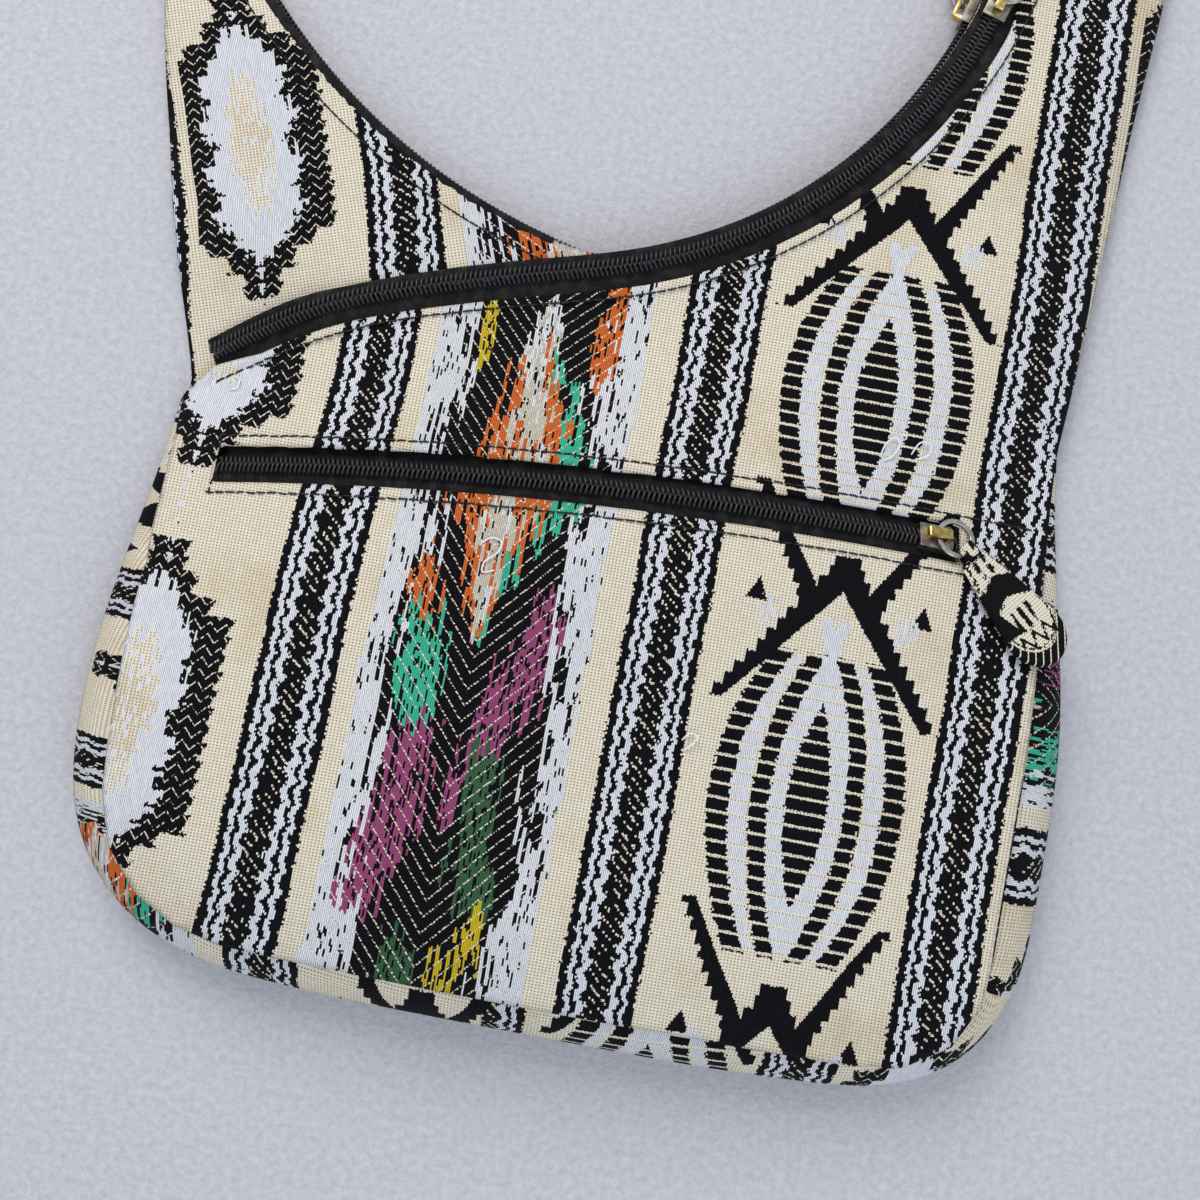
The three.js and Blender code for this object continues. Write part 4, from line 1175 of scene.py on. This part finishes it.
def tube(name, line, radius, sides=6):
    """A small closed tube along a line, kept out of the scene as a part to repeat."""
    line = np.asarray(line, float)
    radii = np.broadcast_to(radius, len(line))
    forward = unit(np.gradient(line, axis=0))
    side = unit(np.cross(forward, np.array([0.31, 0.17, 0.93])))
    lift = np.cross(forward, side)
    turn = np.linspace(0.0, 2 * math.pi, sides, endpoint=False)
    rings = [
        spot + r * (np.outer(np.cos(turn), s) + np.outer(np.sin(turn), u))
        for spot, r, s, u in zip(line, radii, side, lift)
    ]
    mesh = bpy.data.meshes.new(name)
    mesh.from_pydata((np.vstack(rings) * MM).tolist(), [], tube_faces(len(line), sides))
    mesh.shade_smooth()
    return bpy.data.objects.new(name, mesh)


TOOTH_PITCH = 1.6
tooth_line = np.array([
    (0.55, 3.0, 0.5), (0.5, 2.7, 1.2), (0.3, 1.9, 1.75),
    (0.0, 0.8, 1.95), (-0.25, -0.15, 1.8), (-0.3, -0.3, 1.3),
])
TOOTH_RADII = (0.3, 0.42, 0.46, 0.46, 0.42, 0.3)
teeth = {side: tube("tooth", tooth_line * (1.0, side, 1.0), TOOTH_RADII) for side in (1, -1)}


def walk(chain, pitch, shift=0.0):
    """Frames at an even pitch along a chain."""
    run = run_of(chain["origin"])
    at = np.arange(pitch / 2 + shift, run[-1] - pitch / 2, pitch)
    step = {key: np.stack([np.interp(at, run, chain[key][:, k]) for k in range(3)], axis=1) for key in chain}
    return step["origin"], unit(step["along"]), unit(step["out"])


for zip_name, chain, rows in (
    ("pocket", pocket_line, ("upper", "lower")), ("crossover", crossover_chain, ("upper", "lower")),
    ("mouth", mouth_chain, ("front", "back")),
):
    for row, side, shift in ((rows[0], 1, 0.0), (rows[1], -1, TOOTH_PITCH / 2)):
        spots = walk(chain, TOOTH_PITCH, shift)
        coil = set_out(f"{zip_name}_teeth_{row}", teeth[side], *spots, coil_material)
        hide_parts(f"{zip_name}_coil_{row}")
        print(coil.name, len(coil.data.polygons), "faces")


# %% [markdown]
# Topstitching runs along both hems. Each stitch is a short thread that dips into the cloth at both
# ends. Its line is a fixed way from the fold, dropped on the finished panel.

# %% Topstitching
stitch_line = [(-1.5, 0, -0.25), (-1.1, 0, 0.16), (0, 0, 0.26), (1.1, 0, 0.16), (1.5, 0, -0.25)]
stitch = tube("stitch", stitch_line, 0.3)
STITCH_PITCH = 3.5


def surface_of(panel):
    """A finished panel's faces, to drop lines on."""
    shape = bmesh.new()
    shape.from_mesh(panel.data)
    surface = BVHTree.FromBMesh(shape)
    shape.free()
    return surface


def stitched(name, plan, panel):
    """Stitches along a plan line on the surface of a panel."""
    surface = surface_of(panel)
    spots, ways, outs = [], [], []
    plan = resample(plan, STITCH_PITCH, closed=False)
    for spot, way in zip(plan, unit(np.gradient(plan, axis=0))):
        hit, facing = surface.ray_cast((spot[0] * MM, spot[1] * MM, ABOVE * MM), DOWN)[:2]
        if hit is not None and facing.z > LOOKS_UP:
            out = np.array(facing)
            ahead = np.array([way[0], way[1], 0.0])
            spots.append(np.array(hit) / MM + 0.1 * out)
            ways.append(unit(ahead - out * ahead.dot(out)))
            outs.append(out)
    return set_out(name, stitch, spots, ways, outs, stitch_material)


def beside(chain, off):
    """A plan line a fixed way to one side of a chain."""
    side = np.cross(chain["out"], chain["along"])
    return (chain["origin"] + off * side)[:, :2]


POCKET_STITCH = 6.4 + HEM
CROSSOVER_STITCH = 7.0 + HEM
NECK_STITCH = 8.2
NECK_MEET = -24.0
top_line = beside(pocket_line, -POCKET_STITCH)
low_line = beside(pocket_line, POCKET_STITCH)
to_seam = top_line[0] + np.outer(np.linspace(1.0, 0.0, 6), (24.0, 1.0))
neck_line = (mouth_chain["origin"] - NECK_STITCH * mouth_chain["out"])[:, :2]
lines = {
    "pocket_stitch_top": np.vstack([to_seam, top_line]),
    "pocket_stitch_low": low_line,
    "pocket_stitch_end": np.array([top_line[-1], low_line[-1]]),
    "crossover_stitch": beside(crossover_chain, -CROSSOVER_STITCH),
}
for name, plan in lines.items():
    made = stitched(name, plan, crossover_cloth)
    print(name, len(made.data.polygons), "faces")
stitched("neck_stitch", neck_line[neck_line[:, 0] < NECK_MEET], inner_cloth)

# %% [markdown]
# On the left of the neck the mouth zip's tape is turned over the edge of the cloth as a binding.

# %% Neck binding
def neck_binding(name, width, depth):
    """A black strip over the edge of the inner panel, dropped on it and closed below."""
    surface = surface_of(inner_cloth)
    keep = mouth_chain["origin"][:, 0] < NECK_MEET
    spots, outs = mouth_chain["origin"][keep, :2], mouth_chain["out"][keep, :2]
    edges, heights = [], []
    for spot, out in zip(spots, outs):
        for off in np.arange(0.0, 14.0, 0.2):
            x, y = (spot - (off + 0.4) * out) * MM
            hit = surface.ray_cast((x, y, ABOVE * MM), DOWN)[0]
            if hit is not None:
                break
        edges.append(off)
        heights.append(hit.z / MM)
    edges, heights = even_out(edges, 3), even_out(heights, 3)
    corners = ((-0.5, -1.4), (-0.5, 0.2), (0.1, depth), (width, depth), (width, -0.6))
    rows = [np.c_[spots - (edges + off)[:, None] * outs, heights + lift] for off, lift in corners]
    points = np.stack(rows, axis=1).reshape(-1, 3)
    made = make_mesh(name, points, tube_faces(len(spots), len(corners)), None, tape_material)
    face_out(made.data)
    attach(made, "bag")
    return made


binding = neck_binding("neck_binding", 2.8, 0.7)
print("neck binding", len(binding.data.polygons), "faces")


# %% [markdown]
# A used bag has pulled threads: two loops on the upper eye, one on the lower, a curl on the blaze
# and a tail below the left end of the crossover zip. Each is a thin tube that hops over the cloth.

# %% Loose threads
THREAD_RADIUS = 0.26


def loose_thread(name, plan, hop):
    """A thread through plan points on the outer panel, lifted in the middle."""
    t = np.linspace(0.0, 1.0, len(plan))
    even = np.linspace(0.0, 1.0, 6 * len(plan))
    line = np.stack([np.interp(even, t, np.asarray(plan, float)[:, k]) for k in range(2)], axis=1)
    for _ in range(6):
        line[1:-1] = (line[:-2] + line[1:-1] + line[2:]) / 3
    surface = surface_of(crossover_cloth)
    ground = [surface.ray_cast((x * MM, y * MM, ABOVE * MM), DOWN)[0].z / MM for x, y in line]
    lift = 0.25 + hop * np.sin(math.pi * even) - 0.9 * (np.abs(even - 0.5) > 0.49)
    made = tube(name, np.c_[line, np.array(ground) + lift], THREAD_RADIUS)
    made.data.materials.append(lint_material)
    bpy.context.scene.collection.objects.link(made)
    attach(made, "bag")


loose_thread("loose_loop_left", [(91, 63), (92, 68), (95, 71), (97, 68), (95, 64), (92, 62)], 1.2)
loose_thread("loose_loop_right", [(101, 66), (103, 71), (107, 71), (107, 67), (103, 65)], 1.4)
loose_thread("loose_loop_low", [(44, -37), (46, -34), (49, -35), (47, -38), (45, -40)], 1.6)
loose_thread("loose_curl", [(-27, 10), (-24, 13), (-20, 12), (-21, 8), (-25, 5), (-25, 1), (-21, 3)], 0.7)
loose_thread("loose_tail", [(-119, 52), (-116, 51), (-116, 48), (-119, 47)], 0.8)
print("loose threads: 5")


# %% [markdown]
# Sliders and rings are die cast and worn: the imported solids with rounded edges. The cloth pulls are
# padded teardrops with their own cut of the pattern.

# %% Sliders, rings and pulls
CROWN_FOOT = 3.9
CROWN_WAYS = {
    "pocket_slider": (POCKET_SLIDER, (0.2221, 0.3170, 0.9220)),
    "crossover_slider": ((105.29, 221.99, 16.8), (0.0, 0.0, 1.0)),
    "mouth_slider": ((99.82, 223.26, MOUTH_HEIGHT), (-0.9602, 0.2793, 0.0)),
}


def rounded(name, node, width, material, body):
    """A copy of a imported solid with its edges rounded, and brass where it has a crown."""
    shape = solid(node)
    bmesh.ops.dissolve_limit(shape, angle_limit=0.02, verts=shape.verts, edges=shape.edges)
    sharp = [edge for edge in shape.edges if edge.is_manifold and edge.calc_face_angle() > 0.5]
    bmesh.ops.bevel(
        shape, geom=sharp, offset=width, segments=3, profile=0.5, affect="EDGES", clamp_overlap=True,
    )
    bmesh.ops.scale(shape, vec=(MM,) * 3, verts=shape.verts)
    mesh = bpy.data.meshes.new(name)
    shape.to_mesh(mesh)
    shape.free()
    mesh.shade_smooth()
    mesh.set_sharp_from_angle(angle=math.radians(35))
    mesh.materials.append(material)
    if node in CROWN_WAYS:
        mesh.materials.append(brass_material)
        origin, out = map(Vector, CROWN_WAYS[node])
        for face in mesh.polygons:
            face.material_index = int((face.center / MM - origin).dot(out) > CROWN_FOOT)
    dress(placed(name, mesh), body, node)


def pull_place(ring):
    """Cloth places on a pull: along it from its ring, and across it."""
    low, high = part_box(ring)
    near = (np.array(low) + np.array(high)) / 2 / MM

    def places(points, middles):
        middle = points.mean(axis=0)
        axes = np.linalg.svd(points - middle, full_matrices=False)[2]
        along = (points - middle) @ axes[0]
        if (near - middle) @ axes[0] > 0:
            along = -along
        return np.c_[along - along.min(), (points - middle) @ axes[1]]

    return places


for zip_name in ("pocket", "crossover", "mouth"):
    slider, ring, tab = f"{zip_name}_slider", f"{zip_name}_ring", f"{zip_name}_pull"
    rounded(slider + "_metal", slider, 0.28, slider_material, slider + "_body")
    rounded(ring + "_metal", ring, 0.3, ring_material, tab + "_body")
    pull = softened(tab + "_cloth", tab, 3, pull_material, pull_place(ring), 75.0)
    dress(pull, tab + "_body", tab)
    print(zip_name, "slider, ring and pull made")

# %% [markdown]
# A pale felt floor and soft light from above and behind the strap.

# %% Floor and light
def felt(name):
    shader = Shader(name)
    place = shader.object_place()
    fibre = shader.grain(place, 700.0, Detail=4.0)
    tuft = shader.grain(place, 420.0, Detail=5.0, Roughness=0.65)
    tone = ((tuft - 0.5) * 2.2 + 0.5).clamp()
    colour = shader.blend(tone, paint(174, 174, 181), paint(200, 199, 205))
    normal = shader.bump(fibre + tuft, 0.6, 0.0006)
    return shader.set({"Base Color": colour, "Roughness": 0.95, "Normal": normal, "Specular IOR Level": 0.1})


bpy.ops.mesh.primitive_plane_add(size=4.0, location=(0.0, 0.0, -0.0004))
floor = bpy.context.object
floor.name = "floor"
floor.data.materials.append(felt("felt"))
floor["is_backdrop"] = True


def lamp(name, place, aim, size, power, colour):
    light = bpy.data.lights.new(name, "AREA")
    light.size = size
    light.energy = power
    light.color = colour
    made = placed(name, light)
    made.location = place
    made.rotation_euler = (Vector(aim) - Vector(place)).to_track_quat("-Z", "Y").to_euler()
    made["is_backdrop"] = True


lamp("window", (-0.5, 1.0, 1.1), (0.0, 0.0, 0.0), 0.9, 16.0, (1.0, 0.98, 0.96))
lamp("fill", (0.5, -0.9, 1.2), (0.0, -0.1, 0.0), 1.2, 10.5, (0.78, 0.9, 1.0))
world = bpy.data.worlds.new("soft")
world.use_nodes = True
world.node_tree.nodes["Background"].inputs[0].default_value = (0.93, 0.95, 1.0, 1.0)
world.node_tree.nodes["Background"].inputs[1].default_value = 0.52
bpy.context.scene.world = world
print("stage set")

# %% [markdown]
# The corners of the box of every shown piece of the dressed bag are gathered.

# %% Sizes and finish
spots = []
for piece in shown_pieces():
    if piece.type == "MESH" and not piece.hide_render:
        spots += [tuple(piece.matrix_world @ Vector(corner)) for corner in piece.bound_box]
